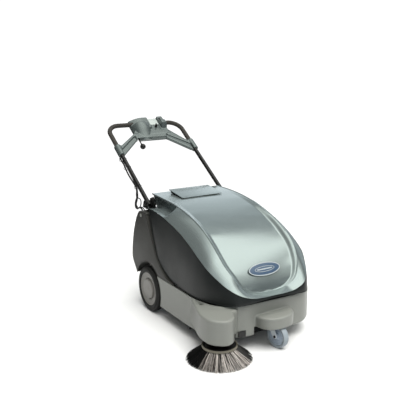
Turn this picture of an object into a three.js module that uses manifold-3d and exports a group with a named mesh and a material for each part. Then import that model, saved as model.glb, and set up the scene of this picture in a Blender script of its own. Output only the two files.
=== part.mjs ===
// Walk-behind battery sweeper, in millimetres.
// X is the machine's lateral axis (its right-hand side is -X), -Y is forwards, +Z is up.
// Everything is placed from the point of the floor under the middle of the rear axle, and the
// finished group is then moved so that the middle of its footprint is the origin.
import * as THREE from "three";
import { mergeVertices } from "three/addons/utils/BufferGeometryUtils.js";
import Module from "manifold-3d";

const wasm = await Module();
wasm.setup();

// ---------------------------------------------------------------- driving dimensions
const GAP = 0.4;                 // clearance between pieces that touch
const HALF_WIDTH = 327;          // outside face of the rear wheels
const WHEEL_RADIUS = 125;
const TYRE_WIDTH = 52;
const TYRE_SIDES = 28;           // flats round each tyre; one of them rests on the floor
const CASTER_SIDES = 20;
const AXLE_RADIUS = 10;
const RAIL_X = 243;              // inside face of the chassis rails
const RAIL_THICKNESS = 5;
const WALL = 5;                  // moulded wall thickness
const FLOOR_Z = 66;              // underside of the chassis
const DECK_Z = 228;              // top edge of the chassis
const FRONT_Y = -703;            // front face of the chassis
const ARCH_RADIUS = 152;
const BRUSH_Y = -262;            // main brush axis
const BRUSH_RADIUS = 112;
const BRUSH_HALF_LENGTH = 208;
const MOTOR_Z = 300;             // height of the brush motor's shaft
const SIDE_BRUSH = { x: -304, y: -710, floorRadius: 162, ringRadius: 84, ringZ: 70 };
const LOBE_BOTTOM_Z = 100;
const LOBE_TOP_Z = 222;
const CASTER = { x: -2, y: -711, trail: 40, radius: 59, width: 32, heading: 9 };
const PIVOT = { y: 127, z: 572 };        // handle pivot
const HANDLE_LEAN = 33;                  // angle of the handle above the horizontal, degrees
const HANDLE_X = 248;                    // tube centre
const TUBE_RADIUS = 14;                  // the gripped part of the handle
const LOWER_RADIUS = 12;
const PIVOT_TO_GRIP = 675;               // pivot to grip bar, along the tubes
const HOOD_HINGE = { y: 128, z: 600 };
const SHELL_WALL = 4;                    // hood wall thickness

const machine = new THREE.Group();

// ---------------------------------------------------------------- materials
const paint = (color, roughness, metalness = 0) =>
  new THREE.MeshStandardMaterial({ color, roughness, metalness });
const COLOURS = {
  hood: () => paint(0x8d9b9a, 0.38),
  skirt: () => paint(0x33383a, 0.55),
  body: () => paint(0x77776f, 0.6),
  black: () => paint(0x1d1d1c, 0.55),
  rubber: () => paint(0x2b2b2a, 0.85),
  tyre: () => paint(0x4b4b48, 0.8),
  hub: () => paint(0x8c8a86, 0.6),
  steel: () => paint(0xb8bcc0, 0.35, 1),
  zinc: () => paint(0xc8cdd4, 0.3, 1),
  grip: () => paint(0x6e695f, 0.7),
  console: () => paint(0x828c8a, 0.45),
  bristle: () => paint(0x26241f, 0.9),
  blue: () => paint(0x5a647d, 0.5),
  orange: () => paint(0xb5652a, 0.5),
  paper: () => paint(0xb9ad92, 0.9),
};

// ---------------------------------------------------------------- shape helpers
function place(name, geometry, material, parent = machine) {
  const mesh = new THREE.Mesh(geometry, material);
  mesh.name = name;
  parent.add(mesh);
  return mesh;
}

function toSolid(geometry) {
  const bare = geometry.clone();
  bare.deleteAttribute("normal");
  bare.deleteAttribute("uv");
  const merged = mergeVertices(bare, 1e-3);
  return new wasm.Manifold(new wasm.Mesh({
    numProp: 3,
    vertProperties: new Float32Array(merged.attributes.position.array),
    triVerts: new Uint32Array(merged.index.array),
  }));
}

function toGeometry(solid) {
  const data = solid.getMesh();
  const geometry = new THREE.BufferGeometry();
  geometry.setAttribute("position", new THREE.BufferAttribute(new Float32Array(data.vertProperties), 3));
  geometry.setIndex(new THREE.BufferAttribute(new Uint32Array(data.triVerts), 1));
  geometry.computeVertexNormals();
  return geometry;
}

const join = (...parts) => toGeometry(parts.map(toSolid).reduce((a, b) => a.add(b)));
const cut = (base, ...tools) => toGeometry(tools.map(toSolid).reduce((a, b) => a.subtract(b), toSolid(base)));

// A shape whose corners are given as [x, y] or [x, y, radius]; a radius rounds that corner, and
// takes less than half of the shorter side next to it.
function outline(corners) {
  const shape = new THREE.Shape();
  corners.forEach(([x, y, wanted = 0], i) => {
    const here = new THREE.Vector2(x, y);
    const before = new THREE.Vector2(...corners.at(i - 1).slice(0, 2)).sub(here);
    const after = new THREE.Vector2(...corners[(i + 1) % corners.length].slice(0, 2)).sub(here);
    const radius = Math.min(wanted, 0.48 * before.length(), 0.48 * after.length());
    const start = here.clone().add(before.setLength(radius));
    const end = here.clone().add(after.setLength(radius));
    if (i === 0) shape.moveTo(start.x, start.y);
    else shape.lineTo(start.x, start.y);
    if (radius > 0) shape.quadraticCurveTo(x, y, end.x, end.y);
  });
  shape.closePath();
  return shape;
}

const extrude = (shape, depth, curveSegments = 3) =>
  new THREE.ExtrudeGeometry(shape, { depth, bevelEnabled: false, curveSegments });

// Plan outline, extruded upwards between two heights.
const slab = (shape, z0, z1, segments) => extrude(shape, z1 - z0, segments).translate(0, 0, z0);

// Outline in (x, z), extruded lengthways between two y values.
const LENGTHWAYS = new THREE.Matrix4().makeBasis(
  new THREE.Vector3(1, 0, 0), new THREE.Vector3(0, 0, 1), new THREE.Vector3(0, -1, 0));
const frontSlab = (shape, y0, y1, segments) =>
  extrude(shape, y1 - y0, segments).applyMatrix4(LENGTHWAYS).translate(0, y1, 0);

// Outline in (y, z), extruded sideways between two x values.
const SIDEWAYS = new THREE.Matrix4().makeBasis(
  new THREE.Vector3(0, 1, 0), new THREE.Vector3(0, 0, 1), new THREE.Vector3(1, 0, 0));
const sideSlab = (shape, x0, x1, segments) =>
  extrude(shape, x1 - x0, segments).applyMatrix4(SIDEWAYS).translate(x0, 0, 0);

const box = (x0, x1, y0, y1, z0, z1) =>
  new THREE.BoxGeometry(x1 - x0, y1 - y0, z1 - z0).translate((x0 + x1) / 2, (y0 + y1) / 2, (z0 + z1) / 2);

// Solid between three points in counter-clockwise order, seen from below the fourth, and the fourth.
function tetrahedron(a, b, c, top) {
  const geometry = new THREE.BufferGeometry();
  geometry.setAttribute("position", new THREE.Float32BufferAttribute([...a, ...b, ...c, ...top], 3));
  geometry.setIndex([0, 1, 2, 0, 2, 3, 2, 1, 3, 1, 0, 3]);
  return geometry;
}

// Cylinder along X, Y or Z from one end to the other.
function rod(axis, from, to, radius, [a, b], segments = 20) {
  const geometry = new THREE.CylinderGeometry(radius, radius, to - from, segments);
  const middle = (from + to) / 2;
  if (axis === "x") return geometry.rotateZ(-Math.PI / 2).translate(middle, a, b);
  if (axis === "y") return geometry.translate(a, middle, b);
  return geometry.rotateX(Math.PI / 2).translate(a, b, middle);
}

// Solid of revolution from [radius, height] points, turned about Z or about X.
function turned(profile, segments, axis = "z") {
  const points = profile.map(([r, h]) => new THREE.Vector2(r, h));
  const geometry = new THREE.LatheGeometry(points, segments, Math.PI / segments);
  return axis === "z" ? geometry.rotateX(Math.PI / 2) : geometry.rotateZ(-Math.PI / 2);
}

const ring = (inner, outer, h0, h1) => [[inner, h0], [outer, h0], [outer, h1], [inner, h1], [inner, h0]];

function pipe(points, radius, steps, sides = 10) {
  const section = new THREE.Shape();
  section.absarc(0, 0, radius, 0, Math.PI * 2);
  const path = new THREE.CatmullRomCurve3(points.map((p) => new THREE.Vector3(...p)), false, "centripetal");
  return new THREE.ExtrudeGeometry(section, { steps, curveSegments: sides, extrudePath: path });
}

// Closed skin between an outer and an inner grid of points, both [row][column].
// The last row is capped unless it closes on itself.
function shell(outer, inner, capLastRow) {
  const rows = outer.length;
  const columns = outer[0].length;
  const count = rows * columns;
  const at = (layer, r, c) => layer * count + r * columns + c;
  const triangles = [];
  const quad = (a, b, c, d) => triangles.push(a, b, c, a, c, d);
  for (let r = 0; r < rows - 1; r += 1) {
    for (let c = 0; c < columns - 1; c += 1) {
      quad(at(0, r, c), at(0, r, c + 1), at(0, r + 1, c + 1), at(0, r + 1, c));
      quad(at(1, r, c), at(1, r + 1, c), at(1, r + 1, c + 1), at(1, r, c + 1));
    }
    quad(at(0, r, 0), at(0, r + 1, 0), at(1, r + 1, 0), at(1, r, 0));
    quad(at(0, r, columns - 1), at(1, r, columns - 1), at(1, r + 1, columns - 1), at(0, r + 1, columns - 1));
  }
  for (let c = 0; c < columns - 1; c += 1) {
    quad(at(0, 0, c), at(1, 0, c), at(1, 0, c + 1), at(0, 0, c + 1));
    if (capLastRow) {
      quad(at(0, rows - 1, c), at(0, rows - 1, c + 1), at(1, rows - 1, c + 1), at(1, rows - 1, c));
    }
  }
  const geometry = new THREE.BufferGeometry();
  const flat = [...outer.flat(), ...inner.flat()].flatMap((p) => p.toArray());
  geometry.setAttribute("position", new THREE.Float32BufferAttribute(flat, 3));
  geometry.setIndex(triangles);
  const closed = mergeVertices(geometry, 1e-3);
  const kept = [];
  for (let i = 0; i < closed.index.count; i += 3) {
    const [a, b, c] = [0, 1, 2].map((k) => closed.index.getX(i + k));
    if (a !== b && b !== c && c !== a) kept.push(a, b, c);
  }
  closed.setIndex(kept);
  closed.computeVertexNormals();
  return closed;
}

// ---------------------------------------------------------------- hood
// Half of the hood, station by station from the rear edge to the middle of the front: the bright
// ridge round the top panel, the lower edge of the band outside it, and the panel's centre line.
const RIDGE = [
  [212, 150, 620], [218, 20, 619], [218, -110, 612], [218, -231, 595], [218, -334, 570],
  [220, -427, 539], [221, -500, 500], [220, -561, 456], [211, -607, 409], [191, -647, 363],
  [159, -671, 311], [110, -675, 282], [55, -673, 268], [0, -672, 265],
];
const BAND_EDGE = [
  [290, 84, 556], [297, 10, 570], [299, -95, 566], [297, -215, 541], [295, -325, 509],
  [296, -420, 472], [296, -500, 433], [288, -565, 394], [268, -613, 359], [236, -667, 319],
  [190, -708, 287], [130, -721, 266], [65, -727, 261], [0, -728, 262],
];
const SPINE = [
  [0, 150, 621], [0, 20, 619], [0, -105, 610], [0, -225, 590], [0, -335, 561],
  [0, -432, 522], [0, -510, 478], [0, -572, 432], [0, -618, 382], [0, -645, 336],
  [0, -659, 303], [0, -665, 283], [0, -668, 272], [0, -672, 265],
];
const PANEL_SINK = [0, 0, 3, 7, 11, 16, 18, 18, 17, 16, 13, 8, 3, 0];
// Lower edge of the dark skirt under the band, from the rear pillar to the middle of the front.
const SKIRT_EDGE = [
  [303, 12, 560], [313, -104, 330], [310, -215, 258], [312, -325, 242], [314, -420, 240],
  [310, -490, 240], [299, -549, 240], [282, -601, 240], [253, -656, 240], [203, -709, 240],
  [135, -724, 243], [65, -729, 250], [0, -730, 253],
];
const LAST = RIDGE.length - 1;
const spline = (points) =>
  new THREE.CatmullRomCurve3(points.map((p) => new THREE.Vector3(...p)), false, "centripetal");
const ridge = spline(RIDGE);
const bandEdge = spline(BAND_EDGE);
const spine = spline(SPINE);
const skirtEdge = spline(SKIRT_EDGE);
const smooth = (t) => THREE.MathUtils.smoothstep(t, 0, 1);

function sinkAt(u) {
  const i = Math.min(Math.floor(u * LAST), LAST - 1);
  return THREE.MathUtils.lerp(PANEL_SINK[i], PANEL_SINK[i + 1], u * LAST - i);
}

// Points from the band's lower edge up to the ridge. Behind POCKET_FRONT the side steps in to a
// hand pocket with a ledge, which gives room to the handle knob.
const POCKET = { wallX: 205, ledgeX: 213, full: -100, end: -175 };
function bandPoints(u) {
  const top = ridge.getPoint(u);
  const low = bandEdge.getPoint(u);
  const y = THREE.MathUtils.lerp(top.y, low.y, 0.5);
  const pocket = smooth((y - POCKET.end) / (POCKET.full - POCKET.end));
  const sunk = [
    new THREE.Vector3(POCKET.ledgeX, low.y, low.z - 6),
    new THREE.Vector3(POCKET.wallX, y, low.z + 4),
    new THREE.Vector3(POCKET.wallX, top.y, top.z - 9),
  ];
  return [low, ...sunk.map((point, i) => {
    const t = (i + 1) / 4;
    const plain = low.clone().lerp(top, t);
    const bulge = 6 * Math.sin(Math.PI * t) * Math.min(1, plain.x / 200);
    plain.add(new THREE.Vector3(bulge * 0.5, 0, bulge * 0.85));
    return plain.lerp(point, pocket);
  }), top];
}

// Points across the sunk panel, between the two ridges.
const STEP_INSIDE = 0.92;
const PANEL_COLUMNS = [STEP_INSIDE, 0.62, 0.31, 0];
function panelPoints(u) {
  const top = ridge.getPoint(u);
  const middle = spine.getPoint(u);
  const along = spine.getTangent(u);
  const depth = sinkAt(u);
  const sunk = new THREE.Vector3(0, top.y - along.z * depth, top.z + along.y * depth);
  return PANEL_COLUMNS.map((s) => {
    const point = sunk.clone().lerp(middle, 1 - (s / STEP_INSIDE) ** 2);
    point.x = s * top.x;
    return point;
  });
}

const mirrorX = (p) => new THREE.Vector3(-p.x, p.y, p.z);
function hoodSection(u) {
  const half = [...bandPoints(u), ...panelPoints(u)];
  return [...half, ...half.slice(0, -1).reverse().map(mirrorX)];
}

// The inside of the hood is its outside drawn in by the wall thickness.
const HOOD_REAR_Y = 150;
function drawnIn(p) {
  const sideways = 1 - SHELL_WALL / 300;
  const lengthways = 1 - SHELL_WALL / 850;
  const upwards = 1 - SHELL_WALL / 380;
  return new THREE.Vector3(
    p.x * sideways, HOOD_REAR_Y + (p.y - HOOD_REAR_Y) * lengthways, 240 + (p.z - 240) * upwards);
}

function hoodShell() {
  const stations = Array.from({ length: 22 }, (_, i) => i / 21);
  const outer = stations.map(hoodSection);
  return shell(outer, outer.map((row) => row.map(drawnIn)), false);
}

function hoodSkirt() {
  const from = 1 / LAST;
  const steps = 16;
  const half = Array.from({ length: steps + 1 }, (_, i) => i / steps).map((u) => {
    const low = skirtEdge.getPoint(u);
    const high = bandEdge.getPoint(from + (1 - from) * u);
    high.z -= 2;
    return [low, low.clone().lerp(high, 0.5), high];
  });
  const outer = [...half, ...half.slice(0, -1).reverse().map((row) => row.map(mirrorX))];
  return shell(outer, outer.map((row) => row.map(drawnIn)), true);
}

const COWL = { halfWidth: 128, frontY: -42, rearY: 112, rise: 16 };
function exhaustCowl() {
  const roof = sideSlab(outline([
    [COWL.frontY, 619.5], [COWL.rearY, 621 + COWL.rise],
    [COWL.rearY, 625 + COWL.rise], [COWL.frontY, 622]]), -COWL.halfWidth, COWL.halfWidth);
  const rib = outline([[-20, 620.8], [104, 622.6], [104, 637.5], [-20, 623]]);
  return join(roof, sideSlab(rib, -98, -94), sideSlab(rib, 94, 98));
}

function badgePlate() {
  const oval = new THREE.Shape();
  oval.absellipse(0, 0, 92, 33, 0, Math.PI * 2);
  const geometry = extrude(oval, 2.5, 12);
  const lean = new THREE.Group();
  lean.position.set(0, -634.6, 367);
  lean.rotation.x = THREE.MathUtils.degToRad(59.6);
  lean.updateMatrix();
  return geometry.applyMatrix4(lean.matrix);
}

place("hood_shell", hoodShell(), COLOURS.hood());
place("hood_skirt", hoodSkirt(), COLOURS.skirt());
place("exhaust_cowl", exhaustCowl(), COLOURS.hood());
place("badge_plate", badgePlate(), COLOURS.blue());

// ---------------------------------------------------------------- chassis
const withMirror = (half) => [...half, ...half.toReversed().map(([x, y, r]) => [-x, y, r])];
const inset = (half, by) => half.map(([x, y, r]) =>
  [Math.max(x - by, 0.5), y + (y < -300 ? by : -by), Math.max((r ?? 0) - by, 1)]);

function chassisTub() {
  const half = [[322, 104, 4], [322, -515, 80], [286, -632, 60], [212, -690, 50], [150, FRONT_Y, 20]];
  const skin = slab(outline(withMirror(half)), FLOOR_Z, DECK_Z, 4);
  const hollow = slab(outline(withMirror(inset(half, WALL))), FLOOR_Z + WALL, DECK_Z + 5, 4);
  const lobePlan = outline([
    [-322, -470, 10], [-388, -665, 30], [-386, -760, 50], [-322, -812, 60], [-262, -775, 30],
    [-222, -703, 20], [-200, -690], [-250, -620], [-318, -560]]);
  const brushLobe = slab(lobePlan, LOBE_BOTTOM_Z, LOBE_TOP_Z, 3);
  const casterPlan = outline([
    [106, -690], [104, -745, 20], [62, -784, 30], [0, -797, 40], [-62, -784, 30], [-92, -745, 20],
    [-96, -690]]);
  const casterLobe = cut(
    slab(casterPlan, 110, 205, 3),
    sideSlab(outline([[-810, 160], [-690, 206], [-690, 260], [-810, 260]]), -120, 120));
  const tub = cut(skin, hollow);
  const railHigh = DECK_Z - 2;
  const rails = [-1, 1].map((side) => {
    const x = side * (RAIL_X + RAIL_THICKNESS / 2);
    const half = RAIL_THICKNESS / 2;
    return box(x - half, x + half, -420, 102, FLOOR_Z + 1, railHigh);
  });
  const crossWall = box(-RAIL_X - 1, RAIL_X + 1, -400, -395, FLOOR_Z + 1, railHigh);
  const lip = box(-RAIL_X - 1, RAIL_X + 1, -128, -124, FLOOR_Z + 1, 92);
  const arches = [-1, 1].map((side) =>
    rod("x", Math.min(side * 250, side * 340), Math.max(side * 250, side * 340), ARCH_RADIUS, [0, 125], 28));
  const leftCorner = tetrahedron([150, -760, 50], [350, -520, 50], [350, -760, 50], [330, -735, 160]);
  const casterWell = [
    rod("z", 0, 112, 102, [CASTER.x, CASTER.y], 22),
    rod("z", 100, 156, 70, [CASTER.x, CASTER.y], 20),
  ];
  return cut(
    join(tub, brushLobe, casterLobe, ...rails, crossWall, lip),
    box(-RAIL_X, RAIL_X, -395, -128, 40, 90),
    box(-RAIL_X, RAIL_X, -124, 140, 40, 250),
    rod("z", 80, 214, 52, [SIDE_BRUSH.x, SIDE_BRUSH.y], 18),
    rod("z", 0, LOBE_BOTTOM_Z, 104, [SIDE_BRUSH.x, SIDE_BRUSH.y], 24),
    rod("x", -260, 260, 9.8, [0, WHEEL_RADIUS], 20),
    box(-192, -150, -710, -697, 72, 104),
    leftCorner,
    ...arches,
    ...casterWell);
}
place("chassis_tub", chassisTub(), COLOURS.body());

// Side pillars over the rear wheels, hollow and open towards the inside.
const PILLAR = [
  [25, 546, 12], [104, 546, 12], [136, 508, 16], [176, 428, 30], [199, 332, 30], [206, 255, 30],
  [172, 212, 12], [145, 180, 6], [122, 214], [84, 254], [30, 275], [-30, 275], [-84, 254],
  [-114, DECK_Z + GAP], [-284, DECK_Z + GAP], [-284, 234], [-212, 247, 20], [-157, 277, 30],
  [-97, 328, 20],
];
function pillar(side) {
  const skin = sideSlab(outline(PILLAR), 250, 320, 3);
  const hollow = sideSlab(outline([
    [30, 536], [96, 536], [128, 500], [168, 424], [190, 330], [198, 262], [150, 224], [104, 246],
    [60, 276], [0, 289], [-60, 276], [-92, 258], [-112, 240], [-150, 262], [-90, 322]]), 249, 315);
  const shape = cut(skin, hollow);
  return side > 0 ? shape : toGeometry(toSolid(shape).mirror([1, 0, 0]));
}
for (const [side, label] of [[-1, "right"], [1, "left"]]) {
  place(`rear_pillar_${label}`, pillar(side), COLOURS.body());
}

// Cross member between the pillars, carrying the hood hinges, and the wall in front of the hopper.
const CROSS = { y0: 100, y1: 136, z0: 515, z1: 546 };
const HINGE_X = { right: -150, left: 150 };
function crossmember() {
  const posts = Object.values(HINGE_X).map((x) => box(x - 4, x + 4, 120, 134, CROSS.z1 - 2, HOOD_HINGE.z + 7));
  const eyes = rod("x", -200, 200, 4.6, [HOOD_HINGE.y, HOOD_HINGE.z], 16);
  const beam = box(-249.6, 249.6, CROSS.y0, CROSS.y1, CROSS.z0, CROSS.z1);
  const knobRoom = [-1, 1].map((side) => box(side * 220 - 12, side * 220 + 12, 90, 140, 534, 560));
  return cut(join(beam, ...posts), eyes, ...knobRoom);
}
place("rear_crossmember", crossmember(), COLOURS.black());
for (const [label, x] of Object.entries(HINGE_X)) {
  place(`hinge_leaf_${label}`, hingeLeaf(x), COLOURS.black());
}

// Leaf under the hood roof with its pin through the bracket's eye.
function hingeLeaf(x) {
  const plate = box(x - 16, x + 16, 52, 124, 609.4, 612.4);
  const ears = [-9, 6].map((dx) => box(x + dx, x + dx + 3, 116, 134, HOOD_HINGE.z - 6, 610));
  const pin = rod("x", x - 8, x + 8, 4, [HOOD_HINGE.y, HOOD_HINGE.z], 16);
  return join(plate, ...ears, pin);
}

// ---------------------------------------------------------------- seals and small front pieces
place("front_seal", box(-140, 226, -604, -600, 28, FLOOR_Z - GAP), COLOURS.rubber());
place("side_seal_right", join(
  box(-247, -244, -446, -150, 30, FLOOR_Z - GAP), box(-315, -245, -446, -442, 50, FLOOR_Z - GAP)),
  COLOURS.rubber());
place("side_seal_left", box(244, 247, -390, -150, 30, FLOOR_Z - GAP), COLOURS.rubber());
place("chamber_seal", box(-230, 230, -404, -400 - GAP, 24, FLOOR_Z - GAP), COLOURS.rubber());
place("bumper_window", box(-191.5, -150.5, -702, -698.6, 72.5, 103.5), COLOURS.black());

// ---------------------------------------------------------------- rear wheels
for (const [side, label] of [[-1, "right"], [1, "left"]]) {
  const outer = HALF_WIDTH;
  const inner = outer - TYRE_WIDTH;
  const facing = (geometry) => (side > 0 ? geometry : geometry.rotateZ(Math.PI));
  const rim = 92.6;
  const crown = WHEEL_RADIUS / Math.cos(Math.PI / TYRE_SIDES);
  const tyre = turned([
    [rim, inner + 4], [crown - 9, inner], [crown, inner + 9], [crown, outer - 11], [crown - 10, outer - 2],
    [rim + 6, outer], [rim, outer - 3], [rim, inner + 4]], TYRE_SIDES, "x");
  const hub = turned([
    [10.8, inner + 6], [30, inner + 6], [30, inner + 14], [91, inner + 5],
    [91, outer - 5], [80, outer - 10], [58, outer - 12], [54, outer - 2], [0, outer - 0.5],
    [0, outer - 11.5], [10.8, outer - 11.5], [10.8, inner + 6]], 20, "x");
  const axle = turned([[0, 236], [14, 236], [14, 242.6], [9, 242.6], [9, outer - 12], [0, outer - 12]], 14, "x");
  const wheel = new THREE.Group();
  wheel.position.z = WHEEL_RADIUS;
  machine.add(wheel);
  place(`tyre_${label}`, facing(tyre), COLOURS.tyre(), wheel);
  place(`wheel_hub_${label}`, facing(hub), COLOURS.hub(), wheel);
  place(`stub_axle_${label}`, facing(axle), COLOURS.steel(), wheel);
}

// ---------------------------------------------------------------- swivel castor
const fork = new THREE.Group();
fork.position.set(CASTER.x, CASTER.y, 0);
fork.rotation.z = THREE.MathUtils.degToRad(CASTER.heading);
machine.add(fork);
const CASTER_AXLE = { y: -CASTER.trail, z: CASTER.radius };
function casterFork() {
  const crown = join(
    rod("z", 122.4, 126.4, 27, [0, 0], 16),
    rod("z", 125, 150, 16, [0, 0], 12));
  const leg = outline([[16, 126], [-22, 126, 6], [-52, 62, 8], [-44, 47, 8], [-30, 50, 6], [4, 100, 6]]);
  const legs = [sideSlab(leg, 19, 22), sideSlab(leg, -22, -19)];
  const axle = rod("x", -26, 26, 5, [CASTER_AXLE.y, CASTER_AXLE.z], 12);
  return join(crown, ...legs, axle);
}
place("castor_fork", casterFork(), COLOURS.zinc(), fork);
place("castor_plate", box(-34, 34, -34, 34, 150.6, 155.4), COLOURS.zinc(), fork);
const half = CASTER.width / 2;
const treadRadius = CASTER.radius / Math.cos(Math.PI / CASTER_SIDES);
const casterTyre = turned([
  [45.6, -half + 3], [treadRadius - 5, -half], [treadRadius, -half + 6], [treadRadius, half - 6],
  [treadRadius - 5, half], [45.6, half - 3], [45.6, -half + 3]], CASTER_SIDES, "x");
const casterHub = turned([
  [5.8, -half - 1], [14, -half - 1], [14, -half + 4], [44.5, -half + 3], [44.5, half - 3],
  [14, half - 4], [14, half + 1], [5.8, half + 1], [5.8, -half - 1]], CASTER_SIDES, "x");
place("castor_tyre", casterTyre, paint(0xa6aaa4, 0.75), fork).position.set(0, CASTER_AXLE.y, CASTER_AXLE.z);
place("castor_hub", casterHub, paint(0x6e788c, 0.45), fork).position.set(0, CASTER_AXLE.y, CASTER_AXLE.z);

// ---------------------------------------------------------------- main brush and its drive
const BRUSH_Z = BRUSH_RADIUS + 1;
const brush = new THREE.Group();
brush.position.set(0, BRUSH_Y, BRUSH_Z);
machine.add(brush);
const shaftEnd = RAIL_X - 2;
const PULLEY = { x0: 226, x1: 240, big: 40, small: 20 };
place("main_brush_core", turned([
  [0, -shaftEnd], [9, -shaftEnd], [9, -BRUSH_HALF_LENGTH], [46, -BRUSH_HALF_LENGTH],
  [46, BRUSH_HALF_LENGTH], [9, BRUSH_HALF_LENGTH], [9, PULLEY.x0], [PULLEY.big, PULLEY.x0],
  [PULLEY.big, PULLEY.x1], [0, PULLEY.x1]], 18, "x"), COLOURS.black(), brush);
place("main_brush_bristles", turned(
  ring(46.8, BRUSH_RADIUS, -BRUSH_HALF_LENGTH + 6, BRUSH_HALF_LENGTH - 6), 24, "x"), COLOURS.bristle(), brush);

const motor = new THREE.Group();
motor.position.set(0, BRUSH_Y, MOTOR_Z);
machine.add(motor);
place("brush_motor", turned([
  [0, 90], [42, 90], [42, 205], [20, 205], [20, 212], [0, 212]], 16, "x"), COLOURS.black(), motor);
place("motor_pulley", turned([
  [0, 213], [6, 213], [PULLEY.small, PULLEY.x0], [PULLEY.small, PULLEY.x1], [0, PULLEY.x1]], 16, "x"),
  COLOURS.steel(), motor);
function driveBelt() {
  const wrap = (extra) => {
    const low = PULLEY.big + extra;
    const high = PULLEY.small + extra;
    const path = new THREE.Shape();
    path.absarc(BRUSH_Y, BRUSH_Z, low, Math.PI - 0.1, Math.PI * 2 + 0.1, false);
    path.absarc(BRUSH_Y, MOTOR_Z, high, 0.1, Math.PI - 0.1, false);
    path.closePath();
    return path;
  };
  return cut(
    sideSlab(wrap(4.4), PULLEY.x0 + 2, PULLEY.x1 - 2, 8),
    sideSlab(wrap(1.9), PULLEY.x0, PULLEY.x1, 8));
}
place("drive_belt", driveBelt(), COLOURS.rubber());

// ---------------------------------------------------------------- side brush, its gearmotor and lift
const sideBrush = new THREE.Group();
sideBrush.position.set(SIDE_BRUSH.x, SIDE_BRUSH.y, 0);
machine.add(sideBrush);
place("side_gearmotor", join(
  rod("z", 88, 160, 40, [0, 0], 18),
  rod("z", 158, 190, 28, [0, 0], 14)), COLOURS.black(), sideBrush);
place("side_brush_plate", join(
  rod("z", SIDE_BRUSH.ringZ - 8, SIDE_BRUSH.ringZ + 1, SIDE_BRUSH.ringRadius - 5.4, [0, 0], 24),
  rod("z", SIDE_BRUSH.ringZ, 87.4, 30, [0, 0], 14)), COLOURS.black(), sideBrush);
place("side_brush_ring", turned(ring(
  SIDE_BRUSH.ringRadius - 4, SIDE_BRUSH.ringRadius, SIDE_BRUSH.ringZ - 8, SIDE_BRUSH.ringZ + 4), 24),
  paint(0x6e695a, 0.6), sideBrush);
place("side_brush_bristles", turned([
  [58, 61.4], [72, 30], [118, 1], [SIDE_BRUSH.floorRadius - 6, 1], [SIDE_BRUSH.floorRadius, 4],
  [112, 36], [SIDE_BRUSH.ringRadius - 4.6, 61.4], [58, 61.4]], 24), COLOURS.bristle(), sideBrush);

// ---------------------------------------------------------------- batteries, fan, filter and hopper
for (const [i, x] of [-112, 112].entries()) {
  const block = box(x - 82, x + 82, -618, -440, FLOOR_Z + WALL + GAP, 285);
  const posts = [-50, 50].map((dx) => rod("z", 284, 300, 8, [x + dx, -470], 12));
  place(`battery_${i + 1}`, join(block, ...posts), COLOURS.black());
}
place("motor_deck", cut(
  join(
    box(-238, 238, -396, -132, DECK_Z + GAP, DECK_Z + 4),
    box(95, 195, BRUSH_Y - 36, BRUSH_Y + 36, DECK_Z + 2, MOTOR_Z - 42.6)),
  box(205, 242, BRUSH_Y - 50, BRUSH_Y + 50, DECK_Z - 2, DECK_Z + 6)), COLOURS.steel());

const FAN = { x: -60, y: -262, z: 330, radius: 62 };
function fanHousing() {
  const volute = rod("y", FAN.y - 22, FAN.y + 26, FAN.radius + 8, [FAN.x, FAN.z], 20);
  const duct = box(FAN.x + 10, FAN.x + FAN.radius + 8, FAN.y - 22, FAN.y + 26, FAN.z, FAN.z + 110);
  const hollow = rod("y", FAN.y - 30, FAN.y + 21, FAN.radius + 4, [FAN.x, FAN.z], 20);
  const bore = box(FAN.x + 14, FAN.x + FAN.radius + 4, FAN.y - 18, FAN.y + 22, FAN.z, FAN.z + 120);
  const foot = box(FAN.x - 40, FAN.x + 40, FAN.y - 20, FAN.y + 24, DECK_Z + 4 + GAP, FAN.z - FAN.radius);
  const shaft = rod("y", FAN.y + 10, FAN.y + 40, 9, [FAN.x, FAN.z], 16);
  return cut(join(volute, duct, cut(foot, hollow)), hollow, bore, shaft);
}
place("fan_housing", fanHousing(), COLOURS.black());
const blades = Array.from({ length: 8 }, (_, i) =>
  box(14, FAN.radius - 4, -14, 12, -1.5, 1.5).rotateY((i * Math.PI) / 4));
place("fan_impeller", join(
  rod("y", 10, 14, FAN.radius - 2, [0, 0], 18), rod("y", -14, 12, 16, [0, 0], 16),
  rod("y", 12, 31, 5, [0, 0], 12), ...blades),
  COLOURS.steel()).position.set(FAN.x, FAN.y, FAN.z);
place("fan_motor", rod("y", FAN.y + 32, FAN.y + 110, 36, [FAN.x, FAN.z], 18), COLOURS.black());

place("filter_frame", cut(
  box(-215, 215, -105, 66, 412, 450), box(-200, 200, -92, 53, 400, 460)), COLOURS.orange());
function filterPleats() {
  const pleats = Array.from({ length: 16 }, (_, i) => {
    const x = -192 + i * 24;
    return [[x, 416], [x + 12, 444]];
  }).flat();
  const below = pleats.toReversed().map(([x, z]) => [x, z - 2.2]);
  return frontSlab(outline([...pleats, ...below]), -91, 52);
}
place("filter_panel", filterPleats(), COLOURS.paper());
place("filter_tray", cut(
  box(-249.6, 249.6, -108, 69, 407, 411.6), box(-206, 206, -96, 57, 400, 420)), COLOURS.steel());

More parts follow.
